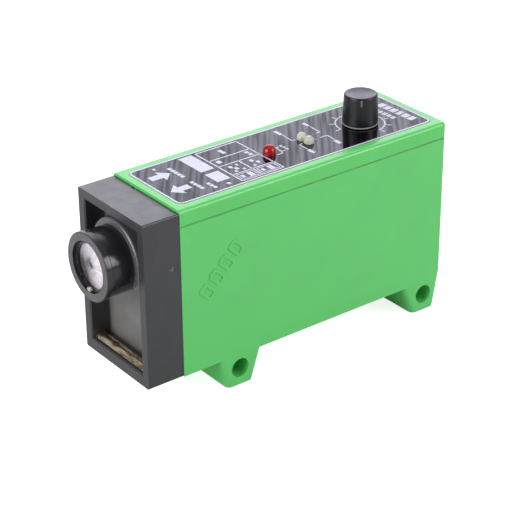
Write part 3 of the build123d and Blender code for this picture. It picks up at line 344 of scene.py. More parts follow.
def lens_painted_with_light(name, centre):
    """A lens painted with light: a pearly painted reflection with fine rays, and painted shade in a dark
    middle and a dark crescent.

    centre is the middle of its front, in metres.
    """
    s = Shader(name, (0.5, 0.48, 0.52), 0.06)
    offset = s.node("ShaderNodeVectorMath", operation="SUBTRACT")
    s.link(s.place, offset.inputs[0])
    offset.inputs[1].default_value = centre
    around = s.node("ShaderNodeSeparateXYZ")
    s.link(offset.outputs[0], around.inputs[0])
    turn = s.math("ARCTAN2", around.outputs["Z"], around.outputs["X"])
    reach = s.node("ShaderNodeVectorMath", operation="LENGTH")
    s.link(offset.outputs[0], reach.inputs[0])
    rays = s.node("ShaderNodeTexNoise", noise_dimensions="1D")
    rays.inputs["Scale"].default_value = 4.5
    rays.inputs["Detail"].default_value = 4.0
    s.link(turn, rays.inputs["W"])
    ray = s.remap(rays.outputs["Fac"], 0.4, 0.62)
    # Painted shade: a dark crescent low on the left of the lens.
    left = s.remap(around.outputs["X"], 3.0 * MM, -2.5 * MM)
    low = s.remap(around.outputs["Z"], 6.5 * MM, 0.0)
    painted_shade_crescent = s.math("MULTIPLY", left, low)
    # Painted shade: a dark, patchy middle.
    eye = s.remap(reach.outputs["Value"], 3.2 * MM, 1.4 * MM)
    painted_dark_middle = s.math("MULTIPLY", eye, s.remap(s.noise(1.8, 3, 0.6), 0.38, 0.6))
    # Painted reflection: a pearly base colour streaked with fine rays.
    tone = s.mix(s.math("MULTIPLY", ray, 0.35), (0.72, 0.68, 0.72), (0.25, 0.23, 0.25))
    tone = s.mix(s.math("MULTIPLY", painted_shade_crescent, 0.9), tone, (0.04, 0.035, 0.035))
    s.colour(s.mix(s.math("MULTIPLY", painted_dark_middle, 0.92), tone, (0.01, 0.009, 0.01)))
    s.roughness(s.remap(s.noise(1.5, 2), 0.3, 0.7, 0.03, 0.08))
    s.bump(s.noise(1.5, 1), 0.0002)
    s.set(Coat_Weight=0.25, Coat_Roughness=0.03, IOR=1.5)
    return s.material


def lens_glass(name, tint, mirror):
    """Coated glass: clear, with a bright coat reflection of the studio."""
    s = Shader(name, tint, 0.02)
    s.set(Transmission_Weight=1.0, IOR=1.52)
    s.colour(s.mix(s.remap(s.noise(3.0, 2), 0.3, 0.7), tint, shade(tint, 0.97)))
    s.bump(s.noise(1.5, 1), 0.0002)
    glossy = s.node("ShaderNodeBsdfGlossy")
    glossy.inputs["Color"].default_value = (0.93, 0.92, 0.98, 1)
    glossy.inputs["Roughness"].default_value = 0.06
    mixer = s.node("ShaderNodeMixShader")
    mixer.inputs["Fac"].default_value = mirror
    s.link(s.bsdf.outputs[0], mixer.inputs[1])
    s.link(glossy.outputs[0], mixer.inputs[2])
    s.link(mixer.outputs[0], s.tree.nodes["Material Output"].inputs["Surface"])
    return s.material


def circuit_board(name, flat_axes):
    """Green solder mask with tracks and tinned pads; flat_axes are the two axes the board lies along."""
    s = Shader(name, (0.015, 0.13, 0.05), 0.3)
    first, second = flat_axes
    track = s.node("ShaderNodeTexBrick")
    track.inputs["Scale"].default_value = 1 / (9.0 * MM)
    track.inputs["Mortar Size"].default_value = 0.012
    track.inputs["Brick Width"].default_value = 0.6
    track.inputs["Row Height"].default_value = 0.2
    combine = s.node("ShaderNodeCombineXYZ")
    s.link(s.axis(first), combine.inputs[0])
    s.link(s.axis(second), combine.inputs[1])
    s.link(combine.outputs[0], track.inputs["Vector"])
    pads = s.node("ShaderNodeTexVoronoi")
    pads.inputs["Scale"].default_value = 1 / (3.2 * MM)
    pads.inputs["Randomness"].default_value = 0.6
    s.link(combine.outputs[0], pads.inputs["Vector"])
    pad = s.remap(pads.outputs["Distance"], 0.16, 0.12)
    mask = s.mix(s.remap(s.noise(4.0, 3), 0.3, 0.7), (0.012, 0.11, 0.04), (0.02, 0.15, 0.06))
    mask = s.mix(track.outputs["Fac"], mask, (0.04, 0.24, 0.1))
    s.colour(s.mix(pad, mask, (0.72, 0.68, 0.55)))
    s.metallic(pad)
    s.bump(s.math("ADD", track.outputs["Fac"], pad), 0.03)
    return s.material


def component(name, colour, axis, metal_up_to):
    """Moulded chip body; what lies nearer the board than metal_up_to is tinned metal."""
    rough = 0.45
    s = Shader(name, colour, rough)
    metal = s.remap(s.axis(axis), metal_up_to * MM, metal_up_to * MM - 1e-5)
    tone = s.mix(s.remap(s.noise(1.2, 4), 0.3, 0.7), shade(colour, 0.8), shade(colour, 1.3))
    s.colour(s.mix(metal, tone, (0.75, 0.74, 0.7)))
    s.metallic(metal)
    s.roughness(s.remap(s.noise(0.5, 3), 0.3, 0.7, rough - 0.1, rough + 0.1))
    s.bump(s.noise(0.12, 2), 0.004)
    return s.material


def insulation(name, hues):
    """Wire insulation, each wire in its own colour."""
    s = Shader(name, hues[0], 0.4)
    island = s.node("ShaderNodeNewGeometry").outputs["Random Per Island"]
    ramp = s.node("ShaderNodeValToRGB")
    ramp.color_ramp.interpolation = "CONSTANT"
    while len(ramp.color_ramp.elements) < len(hues):
        ramp.color_ramp.elements.new(0.5)
    for index, (element, hue) in enumerate(zip(ramp.color_ramp.elements, hues)):
        element.position = index / len(hues)
        element.color = (*hue, 1)
    s.link(island, ramp.inputs["Fac"])
    s.colour(s.mix(s.math("MULTIPLY", s.noise(0.8, 3), 0.3), ramp.outputs["Color"], (0.02, 0.02, 0.02)))
    s.roughness(s.remap(s.noise(0.7, 3), 0.3, 0.7, 0.3, 0.5))
    s.bump(s.noise(0.3, 2), 0.004)
    return s.material


GREEN = (0.113, 0.6, 0.142)
COVER_GREEN = (0.1, 0.6, 0.118)
NOSE_GREY = (0.027, 0.0265, 0.029)
# Painted light: the lit grey of the recess's back wall.
PAINTED_LIT_WALL_GREY = (0.14, 0.137, 0.132)
SEAM_HEIGHT = box_mm("housing_body")[1].z

# The back wall of the nose's recess, behind the brass bar, painted paler than the nose plastic: painted light
# where the front light falls on it.
bar_low, bar_high = box_mm("brass_bar")
wall_half_width = 13.0
wall_y = bar_high.y + 1.4
LIT_WALL_LOW = (-wall_half_width, wall_y, bar_low.z)
LIT_WALL_HIGH = (wall_half_width, wall_y + 1.0, box_mm("lens_mount")[1].z + 1.5)

lens_low, lens_high = box_mm("objective_lens")
lens_middle = (lens_low + lens_high) / 2
LENS_FRONT_CENTRE = Vector((lens_middle.x, lens_low.y, lens_middle.z)) * MM

RED, BLUE, BLACK, BROWN = (0.45, 0.02, 0.015), (0.02, 0.05, 0.4), (0.02, 0.02, 0.02), (0.25, 0.1, 0.03)

looks = {
    "enamel": enamel("green_enamel", GREEN, 0.42, 0.15),
    "cover": enamel("cover_enamel", COVER_GREEN, 0.34, 0.35),
    "nose": moulded("nose_plastic", NOSE_GREY, 0.42, coat=0.5, painted_lit_wall=(LIT_WALL_LOW, LIT_WALL_HIGH, PAINTED_LIT_WALL_GREY)),
    "nose_mark": moulded("nose_mark_plastic", shade(NOSE_GREY, 4.2), 0.4),
    "gloss": moulded("black_gloss", (0.085, 0.085, 0.092), 0.24, grain=0.5, depth=0.002, wear=2.5, coat=0.5),
    "barrel": anodised("barrel_black", (0.03, 0.03, 0.034), 0.16),
    "rim": anodised("barrel_rim", (0.11, 0.105, 0.105), 0.5),
    "lock_paint": ink("lock_paint", (0.42, 0.41, 0.27)),
    "matt_black": moulded("optics_black", (0.02, 0.02, 0.021), 0.7),
    "knob": moulded("knob_plastic", (0.006, 0.006, 0.008), 0.34, grain=0.3, depth=0.002, wear=4),
    # Painted sheen: the knob's top is a paler, lilac copy of the black knob plastic, standing in for the
    # reflection on its glossy top.
    "knob_top_sheen": moulded("knob_top_painted_sheen", (0.06, 0.056, 0.075), 0.34, grain=0.2, depth=0.003, wear=1.6),
    "steel": machined("zinc_steel", (0.62, 0.61, 0.58), 0.3),
    "brass": tarnished_brass("polished_brass"),
    "shaft": machined("turned_steel", (0.6, 0.6, 0.6), 0.25, (1, 1, 0.2)),
    "nickel": machined("nickel_plate", (0.7, 0.67, 0.62), 0.2, (1, 0.2, 1)),
    "gold": machined("gold_plate", (0.9, 0.66, 0.26), 0.2),
    "can": machined("capacitor_can", (0.7, 0.7, 0.72), 0.28),
    "rubber": rubber("seal_rubber"),
    "film": film("label_film"),
    "white_ink": ink("white_ink", (0.7, 0.69, 0.8)),
    "blue_ink": ink("blue_ink", (0.03, 0.04, 0.3)),
    "pointer": ink("pointer_paint", (0.13, 0.13, 0.15)),
    # Painted highlight: a pale grey foot ring stands in for the thin glint along the knob's base.
    "knob_foot_glint": moulded("knob_foot_painted_glint", (0.3, 0.3, 0.29), 0.3, grain=0.2, depth=0.002, wear=1.5),
    "lens": lens_painted_with_light("objective_glass", LENS_FRONT_CENTRE),
    "inner_glass": lens_glass("inner_glass", (0.9, 0.95, 0.95), 0.1),
    "emitter": resin("clear_resin", (0.85, 0.85, 0.8), (0.7, 0.7, 0.66), 0.6),
    "flat_board": circuit_board("display_board_mask", ("X", "Y")),
    "upright_board": circuit_board("main_board_mask", ("Y", "Z")),
    "emitter_board": circuit_board("emitter_board_mask", ("X", "Z")),
    "pot": moulded("potentiometer_blue", (0.02, 0.07, 0.28), 0.35),
    "insert": moulded("insert_black", (0.015, 0.015, 0.016), 0.5),
    "wires": insulation("wire_colours", [RED, BLUE, BLACK, BROWN]),
}

board_side = box_mm("main_board")[1].x
resin_foot = box_mm("display_board")[1].z + 2.5
looks["chips"] = component("chip_black", (0.022, 0.022, 0.024), "X", board_side + 0.4)
looks["red_lamp"] = lamp_on_leads("red_lamp", (0.62, 0.012, 0.012), (0.3, 0.004, 0.004), 0.25, resin_foot)
looks["cream_lamp"] = lamp_on_leads("cream_lamp", (0.82, 0.82, 0.68), (0.6, 0.62, 0.5), 0.2, resin_foot)

node_looks = {
    "housing_body": "enamel", "top_cover": "cover", "cover_gasket": "rubber", "cover_screws": "steel",
    "label_plate": "film", "nose_frame": "nose", "nose_gasket": "rubber", "nose_screws": "steel",
    "brass_bar": "brass", "bar_screws": "steel", "lens_mount": "gloss", "mount_circlip": "steel",
    "lens_barrel": "barrel", "lens_retaining_ring": "barrel", "lens_cell": "matt_black",
    "objective_lens": "lens", "optics_block": "matt_black", "optics_screws": "steel",
    "beam_splitter": "inner_glass", "condenser_lens": "inner_glass", "aperture_disc": "matt_black",
    "emitter_led": "emitter", "emitter_board": "emitter_board", "receiver_photodiode": "insert",
    "receiver_board": "flat_board", "display_board": "flat_board", "display_screws": "steel",
    "output_led": "red_lamp", "status_leds": "cream_lamp", "potentiometer_body": "pot",
    "potentiometer_shaft": "shaft", "knob_bush": "brass", "shaft_seal": "rubber", "knob": "knob",
    "knob_pointer": "pointer", "main_board": "upright_board", "board_connector": "insert",
    "processor_chip": "chips", "voltage_regulator": "chips", "output_transistors": "chips",
    "capacitors": "can", "plug_shell": "nickel", "plug_seal": "rubber", "plug_insert": "insert",
    "plug_pins": "gold", "plug_nut": "nickel", "wire_harness": "wires", "emitter_wires": "wires",
}
for node_name, look in node_looks.items():
    slots = nodes[node_name].data.materials
    slots.clear()
    slots.append(looks[look])


# ---------------- mesh helpers

def add_piece(name, mesh_builder, look, body):
    """Turns a bmesh in millimetres into a piece that rides on a body."""
    bmesh.ops.scale(mesh_builder, vec=(MM, MM, MM), verts=mesh_builder.verts)
    bmesh.ops.recalc_face_normals(mesh_builder, faces=mesh_builder.faces)
    mesh = bpy.data.meshes.new(name)
    mesh_builder.to_mesh(mesh)
    mesh_builder.free()
    mesh.shade_smooth()
    mesh.set_sharp_from_angle(angle=SHARP)
    piece = bpy.data.objects.new(name, mesh)
    bpy.context.scene.collection.objects.link(piece)
    for key in look if isinstance(look, (list, tuple)) else [look]:
        mesh.materials.append(looks[key])
    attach(piece, body)
    return piece


def add_prism(mesh_builder, outline, bottom, top):
    """A closed flat solid over an outline of (x, y) corners."""
    low = [mesh_builder.verts.new((x, y, bottom)) for x, y in outline]
    high = [mesh_builder.verts.new((x, y, top)) for x, y in outline]
    mesh_builder.faces.new(low[::-1])
    mesh_builder.faces.new(high)
    for i in range(len(outline)):
        j = (i + 1) % len(outline)
        mesh_builder.faces.new((low[i], low[j], high[j], high[i]))


def add_band(mesh_builder, outer, inner, bottom, top):
    """A closed flat frame between two outlines with the same number of corners."""
    rings = [
        [mesh_builder.verts.new((x, y, height)) for x, y in outline]
        for outline, height in ((outer, bottom), (outer, top), (inner, top), (inner, bottom))
    ]
    count = len(outer)
    for this, following in zip(rings, rings[1:] + rings[:1]):
        for i in range(count):
            j = (i + 1) % count
            mesh_builder.faces.new((this[i], this[j], following[j], following[i]))


def rounded_rectangle(x_low, x_high, y_low, y_high, radius, steps=6):
    """The outline of a rectangle with round corners, steps segments to each corner."""
    points = []
    corners = ((x_high, y_low, -90), (x_high, y_high, 0), (x_low, y_high, 90), (x_low, y_low, 180))
    for corner_x, corner_y, start in corners:
        # Each centre lies one radius in from its corner.
        centre_x = corner_x - math.copysign(radius, corner_x - (x_low + x_high) / 2)
        centre_y = corner_y - math.copysign(radius, corner_y - (y_low + y_high) / 2)
        for step in range(steps + 1):
            angle = math.radians(start + 90 * step / steps)
            points.append((centre_x + radius * math.cos(angle), centre_y + radius * math.sin(angle)))
    return points


def circle(centre_x, centre_y, radius, count=48):
    turn = math.tau / count
    return [
        (centre_x + radius * math.cos(turn * i), centre_y + radius * math.sin(turn * i)) for i in range(count)
    ]


def stroke(start, end, thickness):
    """The outline of a straight line of ink."""
    along = (Vector(end) - Vector(start)).normalized()
    side = Vector((-along.y, along.x)) * thickness / 2
    return [tuple(Vector(p) + s) for p, s in ((start, -side), (end, -side), (end, side), (start, side))]


def quarter_turn(steps):
    """Angles from 0 to a quarter turn, in radians."""
    return [math.pi / 2 * step / steps for step in range(steps + 1)]


def lathe(mesh_builder, profile, origin, axis, count, material_of=None):
    """Revolves a closed profile of (along, radius) points round an axis through origin."""
    axis = Vector(axis)
    side = axis.orthogonal().normalized()
    other = axis.cross(side)
    angles = [math.tau * i / count for i in range(count)]
    outward = [side * math.cos(angle) + other * math.sin(angle) for angle in angles]
    rings = []
    for along, radius in profile:
        centre = Vector(origin) + axis * along
        if radius < 1e-6:
            rings.append([mesh_builder.verts.new(centre)])
        else:
            rings.append([mesh_builder.verts.new(centre + radius * way) for way in outward])
    for index, (this, following) in enumerate(zip(rings, rings[1:] + rings[:1])):
        if len(this) == 1 and len(following) == 1:
            continue
        for i in range(count):
            j = (i + 1) % count
            corners = [this[i % len(this)], this[j % len(this)]]
            corners += [following[j % len(following)], following[i % len(following)]]
            # A ring of one point gives triangles, so repeated corners are dropped.
            face = mesh_builder.faces.new(list(dict.fromkeys(corners)))
            if material_of is not None:
                face.material_index = material_of[index]


# ---------------- label print

label_low, label_high = box_mm("label_plate")
ink_bottom = label_high.z + 0.005
ink_top = ink_bottom + 0.03
label_front = label_low.y
knob_low, knob_high = box_mm("knob")
dial_x = (knob_low.x + knob_high.x) / 2
dial_y = (knob_low.y + knob_high.y) / 2


def printed(name, outlines, look="white_ink"):
    """One piece made of several flat shapes of ink."""
    builder = bmesh.new()
    for outline in outlines:
        add_prism(builder, outline, ink_bottom, ink_top)
    return add_piece(name, builder, look, "sensor_body")


def from_front(points):
    """Points given as (x, distance behind the label's front edge)."""
    return [(x, label_front + y) for x, y in points]


def bar(x, y, length, height, turn=0.0):
    """A short bar of ink that stands in for a line of small print."""
    centre = Vector((x, label_front + y))
    along = Vector((math.cos(turn), math.sin(turn))) * length / 2
    return stroke(tuple(centre - along), tuple(centre + along), height)


def inset_label(inset, radius):
    """The label's outline moved in by inset, with round corners."""
    return rounded_rectangle(
        label_low.x + inset, label_high.x - inset, label_low.y + inset, label_high.y - inset, radius
    )


def make_border():
    builder = bmesh.new()
    inset = 0.02
    line = 0.58
    corner = 1.9
    outer = inset_label(inset, corner)
    inner = inset_label(inset + line, corner - line)
    add_band(builder, outer, inner, ink_bottom, ink_top)
    add_piece("label_border", builder, "white_ink", "sensor_body")


def arrow(tip, tail_y, half_head, half_shaft, x):
    """An arrow along the label's length, its point at tip and its head as long as it is half wide."""
    way = 1 if tip > tail_y else -1
    neck = tip - way * half_head
    return from_front([
        (x, tip), (x - half_head, neck), (x - half_shaft, neck), (x - half_shaft, tail_y),
        (x + half_shaft, tail_y), (x + half_shaft, neck), (x + half_head, neck),
    ])


def make_symbols():
    """Two arrows that point opposite ways, and two plain panels behind them."""
    half_head = 3.0
    half_shaft = 1.25
    outlines = [
        arrow(9.1, 2.6, half_head, half_shaft, -5.0),
        arrow(2.5, 8.6, half_head, half_shaft, 4.7),
        from_front([(-11.0, 15.9), (-0.2, 15.9), (-0.2, 20.3), (-11.0, 20.3)]),
        from_front([(1.6, 15.8), (7.4, 15.8), (7.4, 20.1), (1.6, 20.1)]),
    ]
    printed("label_symbols", outlines)


def make_table():
    """A ruled table of four columns; the right two have two rows, with frames in the last column."""
    line = 0.42
    thin_line = 0.28
    gap = 0.75
    left, right, front, back = -10.85, 10.85, 21.55, 35.5
    columns = (-4.55, -0.1, 6.25)
    split = 28.3
    outlines = [stroke(*from_front([(x, front), (x, back)]), line) for x in (left, *columns, right)]
    outlines += [stroke(*from_front([(left, y), (right, y)]), line) for y in (front, back)]
    outlines.append(stroke(*from_front([(columns[1], split), (right, split)]), line))
    cells = [(columns[2], right, front, split), (columns[2], right, split, back)]
    for x_low, x_high, y_low, y_high in cells:
        corners = [
            (x_low + gap, y_low + gap), (x_high - gap, y_low + gap),
            (x_high - gap, y_high - gap), (x_low + gap, y_high - gap),
        ]
        for here, there in zip(corners, corners[1:] + corners[:1]):
            outlines.append(stroke(*from_front([here, there]), thin_line))
    printed("label_table", outlines)


def make_small_print():
    """Plain blocks where the label has lines of small print."""
    outlines = []
    block_gap = 0.25
    # First x, y, number of blocks, pitch, step back from block to block, and height of each row.
    rows = [
        (-7.3, 10.5, 5, 1.5, 0.02, 1.15),
        (3.3, 10.4, 4, 1.45, 0.05, 1.05),
        (6.6, 13.4, 3, 1.4, 0.1, 1.05),
    ]
    for x, y, blocks, pitch, step, height in rows:
        outlines += [bar(x + pitch * i, y + step * i, pitch - block_gap, height) for i in range(blocks)]
    # Single blocks: x, y, length and height.
    words = [
        (-9.6, 7.0, 1.1, 0.8), (9.7, 17.8, 1.2, 1.1),
        (-8.3, 28.2, 1.3, 1.2), (-6.9, 28.3, 1.3, 1.2),
        (-2.6, 23.6, 1.7, 1.4), (-3.1, 33.4, 1.2, 1.2), (-1.5, 33.6, 1.2, 1.2),
        (1.9, 24.1, 1.4, 1.0), (3.5, 25.0, 1.4, 1.1), (1.6, 26.4, 1.2, 0.7),
        (4.9, 23.9, 1.0, 0.9), (4.9, 26.6, 1.0, 0.8),
        (2.0, 31.2, 1.4, 1.0), (3.7, 32.2, 1.4, 1.0), (4.9, 30.2, 0.9, 0.8),
        (8.6, 23.4, 1.6, 1.0), (8.6, 26.0, 2.4, 1.6), (8.6, 30.2, 1.6, 1.0), (8.6, 32.8, 2.4, 1.6),
        (-0.7, 43.5, 1.0, 0.7), (0.6, 43.6, 1.0, 0.7), (1.9, 43.7, 1.0, 0.7),
        (-0.5, 41.9, 0.4, 1.6), (0.9, 41.5, 2.4, 0.4), (2.3, 42.1, 0.4, 1.4),
        (-8.2, 48.3, 3.2, 1.1), (7.2, 47.9, 2.8, 1.1), (-8.0, 58.2, 2.6, 1.0), (6.9, 57.6, 2.6, 1.2),
    ]
    outlines += [bar(*word) for word in words]
    printed("label_small_print", outlines)


def make_lamp_leaders():
    """Thin lines that lead from the lamps to their blocks, and a blue dot beside them."""
    line = 0.38
    runs = [
        ((-6.0, 48.4), (-1.4, 48.1)), ((-1.4, 48.1), (-1.4, 49.2)),
        ((5.4, 48.0), (1.8, 48.0)), ((1.8, 48.0), (1.8, 49.2)),
        ((-6.2, 58.3), (-1.4, 58.0)), ((-1.4, 58.0), (-1.4, 56.6)),
        ((5.2, 57.9), (1.6, 58.2)), ((1.6, 58.2), (1.6, 55.7)),
        ((3.4, 38.9), (3.4, 41.0)), ((3.4, 41.0), (1.2, 41.3)),
    ]
    printed("lamp_leaders", [stroke(*from_front(run), line) for run in runs])
    printed("lamp_dot", [circle(1.8, label_front + 53.9, 0.75)], "blue_ink")


def arc_band(centre_x, centre_y, radius, line, start, end, steps=72):
    """The outline of a curved line of ink from one angle to another, in degrees."""
    angles = [math.radians(start + (end - start) * i / steps) for i in range(steps + 1)]
    edges = [
        [(centre_x + reach * math.cos(angle), centre_y + reach * math.sin(angle)) for angle in angles]
        for reach in (radius, radius - line)
    ]
    return edges[0] + edges[1][::-1]


def make_dial():
    """A scale round the knob with a ring of ticks, open towards the label's front corner."""
    builder = bmesh.new()
    ring_radius = 7.3
    tick_start = ring_radius + 0.1
    tick_end = 9.0
    line = 0.45
    start, end = 10, 270
    add_prism(builder, arc_band(dial_x, dial_y, ring_radius, line, start, end), ink_bottom, ink_top)
    ticks = 9
    centre = Vector((dial_x, dial_y))
    for i in range(ticks):
        angle = math.radians(start + (end - start) * i / (ticks - 1))
        way = Vector((math.cos(angle), math.sin(angle)))
        tick = stroke(tuple(centre + way * tick_start), tuple(centre + way * tick_end), line)
        add_prism(builder, tick, ink_bottom, ink_top)
    add_piece("dial_scale", builder, "white_ink", "sensor_body")


def make_maker_blocks():
    """Two rows of plain blocks where the maker's print would stand."""
    outlines = []
    slant = math.radians(6)
    # First x, y, pitch, step back from block to block, height, and the length of each block.
    rows = [
        (-5.2, 84.4, 2.5, 0.1, 2.7, (2.2, 1.8, 2.1, 1.6, 2.2, 1.9)),
        (-3.4, 80.7, 1.75, 0.08, 1.7, (1.4, 1.1, 1.4, 1.2, 1.3)),
    ]
    for x, y, pitch, step, height, lengths in rows:
        for i, length in enumerate(lengths):
            outlines.append(bar(x + pitch * i, y + step * i, length, height, slant))
    printed("maker_blocks", outlines)


make_border()
make_symbols()
make_table()
make_small_print()
make_lamp_leaders()
make_dial()
make_maker_blocks()


# ---------------- knob, barrel, plug

def knob_profile(height, outer, crown):
    """The knob's section as (height, radius): foot ring, groove, tapered side, round edge, dish, bore."""
    hollow = outer - 0.45
    hollow_depth = 0.8
    shaft = 3.02
    shaft_depth = 7.5
    side_start = 1.12
    side_radius = outer - 0.05
    edge_round = 0.5
    side_end = height - edge_round
    dish_floor = height - 0.12
    profile = [
        (0, hollow), (0, outer - 0.1), (0.05, outer), (0.3, outer), (0.36, outer - 0.08),
        (0.5, outer - 0.03), (0.8, outer - 0.03),
    ]
    side_steps = 10
    for step in range(side_steps + 1):
        share = step / side_steps
        level = side_start + (side_end - side_start) * share
        profile.append((level, side_radius + (crown - side_radius) * share))
    for angle in quarter_turn(6)[1:]:
        level = side_end + edge_round * math.sin(angle)
        profile.append((level, crown - edge_round + edge_round * math.cos(angle)))
    profile += [(height - 0.02, crown - 0.9), (dish_floor, crown - 1.1), (dish_floor, 0)]
    profile += [(shaft_depth, 0), (shaft_depth, shaft), (hollow_depth, shaft), (hollow_depth, hollow)]
    return profile


def cut_knob_notches(builder, base, height, crown):
    """Presses grip notches into the side, with none under the pointer."""
    notch_count = 8
    half_width = 0.3
    depth = 0.12
    notch_bottom = height - 2.6
    notch_top = height - 0.45
    inside = crown - 0.3
    pointer_low, pointer_high = box_mm("knob_pointer")
    pointer = (pointer_low + pointer_high) / 2 - Vector((dial_x, dial_y, 0))
    pointer_angle = math.atan2(pointer.y, pointer.x)
    for vert in builder.verts:
        out = Vector((vert.co.x - dial_x, vert.co.y - dial_y))
        level = vert.co.z - base
        if level < notch_bottom or level > notch_top or out.length < inside:
            continue
        turn = (math.atan2(out.y, out.x) - pointer_angle) / math.tau * notch_count
        off_centre = abs(turn - round(turn)) / notch_count * math.tau * out.length
        if off_centre < half_width and round(turn) % notch_count != 0:
            inward = out.normalized() * -depth * (1 - off_centre / half_width)
            vert.co.x += inward.x
            vert.co.y += inward.y


def make_knob():
    """The knob as a fine lathe shape with a dished top and grip notches under the top edge."""
    base = knob_low.z
    height = knob_high.z - base
    outer = (knob_high.x - knob_low.x) / 2
    crown = outer - 0.4
    segments = 128
    side_look, foot_glint_look, sheen_top_look = range(3)
    foot_segments = 4
    dish_look_depth = 0.2
    profile = knob_profile(height, outer, crown)
    material_of = [side_look] * len(profile)
    for index, (along, radius) in enumerate(profile):
        # Painted highlight: the foot segments take the pale glint look.
        if index < foot_segments:
            material_of[index] = foot_glint_look
        elif along > height - dish_look_depth and radius < crown - dish_look_depth:
            material_of[index] = sheen_top_look
    builder = bmesh.new()
    lathe(builder, profile, (dial_x, dial_y, base), (0, 0, 1), segments, material_of)
    cut_knob_notches(builder, base, height, crown)
    # The knob's top and foot take painted sheen and a painted highlight, in paler copies of the knob plastic.
    finish = ("knob", "knob_foot_glint", "knob_top_sheen")
    piece = add_piece("knob_shell", builder, finish, "sensitivity_knob")
    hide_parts("knob")


def make_barrel():
    """The turned barrel: flat grey rim face, rounded rim and a smooth tube behind it."""
    low, high = box_mm("lens_barrel")
    length = high.y - low.y
    rim = (high.x - low.x) / 2
    tube = rim - 0.3
    bore = rim - 1.5
    opening = rim - 2.35
    rim_length = 1.8
    seat = 1.7
    round_off = 0.22
    rear_chamfer = 0.2
    segments = 144
    profile = [(0, opening), (0, rim - round_off)]
    for angle in quarter_turn(5)[1:]:
        along = round_off - round_off * math.cos(angle)
        profile.append((along, rim - round_off + round_off * math.sin(angle)))
    # The rim slopes down to the tube behind it.
    profile += [(rim_length, rim), (rim_length + 0.15, rim - 0.12), (rim_length + 0.3, tube)]
    profile += [(length - rear_chamfer, tube), (length, tube - rear_chamfer)]
    profile += [(length, bore), (seat, bore), (seat, opening)]
    # Only the first segment, the rim's front face, has the second look.
    material_of = [1] + [0] * (len(profile) - 1)
    builder = bmesh.new()
    lathe(builder, profile, (0, low.y, (low.z + high.z) / 2), (0, 1, 0), segments, material_of)
    piece = add_piece("focus_barrel_shell", builder, ("barrel", "rim"), "focus_barrel")
    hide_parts("lens_barrel")


def make_yellow_rim_dab():
    """A small lumpy yellowish dab just inside the rim, low and a little left of the axis."""
    low, high = box_mm("lens_barrel")
    ring_front = box_mm("lens_retaining_ring")[0].y
    half_size = Vector((0.95, 0.65, 0.7))
    lumps = 0.25
    lump_pitch = 1.7
    below_axis = 6.85
    place = Vector((-0.3, ring_front - 0.25, (low.z + high.z) / 2 - below_axis))
    builder = bmesh.new()
    bmesh.ops.create_icosphere(builder, subdivisions=3, radius=1.0)
    for vert in builder.verts:
        lumpy = 1 + lumps * noise.noise(vert.co * lump_pitch)
        vert.co = vert.co * half_size * lumpy + place
    add_piece("yellow_rim_dab", builder, "lock_paint", "focus_barrel")


def add_lamp(builder, x, y, stem, dome, top, node):
    """One lamp: leads, a stem through the cover, and a wider dome that rests on the label."""
    lead_bottom = box_mm(node)[0].z
    stem_bottom = box_mm("display_board")[1].z + 2.6
    rest = label_high.z + 0.02
    ring = min(0.25, dome / 4)
    least_side = 0.2
    segments = 64
    profile = [(stem_bottom, 0), (stem_bottom, stem), (rest, stem), (rest, dome - 0.05), (rest + 0.06, dome)]
    shoulder = top - dome
    if shoulder > rest + ring:
        profile.append((rest + ring, dome))
    crown = max(shoulder, rest + least_side)
    for angle in quarter_turn(12):
        profile.append((crown + (top - crown) * math.sin(angle), dome * math.cos(angle)))
    profile[-1] = (top, 0)
    lathe(builder, profile, (x, y, 0), (0, 0, 1), segments)
    lead_spacing = 1.27
    lead_radius = 0.25
    lead_sides = 12
    lead_top = stem_bottom + 0.2
    for side in (-1, 1):
        outline = circle(x + side * lead_spacing / 2, y, lead_radius, lead_sides)
        add_prism(builder, outline, lead_bottom, lead_top)


def make_lamps():
    """The red output lamp, and the two status lamps as one piece."""
    output_stem = 1.8
    output_dome = 1.85
    status_dome = 1.45
    low, high = box_mm("output_led")
    builder = bmesh.new()
    middle = (low + high) / 2
    add_lamp(builder, middle.x, middle.y, output_stem, output_dome, high.z, "output_led")
    piece = add_piece("output_lamp", builder, "red_lamp", "sensor_body")
    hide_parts("output_led")
    low, high = box_mm("status_leds")
    status_stem = (high.y - low.y) / 2
    builder = bmesh.new()
    for x in (low.x + status_stem, high.x - status_stem):
        add_lamp(builder, x, (low.y + high.y) / 2, status_stem, status_dome, high.z, "status_leds")
    piece = add_piece("status_lamps", builder, "cream_lamp", "sensor_body")
    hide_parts("status_leds")


def make_plug():
    """The rear plug with its sealing flange and a real coupling thread of 1 mm pitch."""
    low, high = box_mm("plug_shell")
    centre_z = (low.z + high.z) / 2
    flange = (high.z - low.z) / 2
    thread = flange - 1.8
    slim = thread - 0.2
    bore = 4.4
    chamfer = 0.1
    end_chamfer = 0.4
    thread_start = high.y - 4.4
    thread_end = high.y - end_chamfer
    flange_front = thread_start - 3.5
    flange_back = flange_front + 1.2
    segments = 96
    profile = [(low.y, bore), (low.y, slim), (flange_front, slim), (flange_front, flange - chamfer)]
    profile += [(flange_front + chamfer, flange), (flange_back - chamfer, flange)]
    profile += [(flange_back, flange - chamfer), (flange_back, slim), (thread_start, slim)]
    first_turn = thread_start + 0.05
    steps = 44
    for step in range(steps + 1):
        profile.append((first_turn + (thread_end - first_turn) * step / steps, thread))
    profile += [(high.y, thread - end_chamfer), (high.y, bore)]
    builder = bmesh.new()
    lathe(builder, profile, (0, 0, centre_z), (0, 1, 0), segments)
    cut_thread(builder, centre_z, thread, thread_start, high.y - 0.2)
    piece = add_piece("plug_shell_threaded", builder, "nickel", "sensor_body")
    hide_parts("plug_shell")


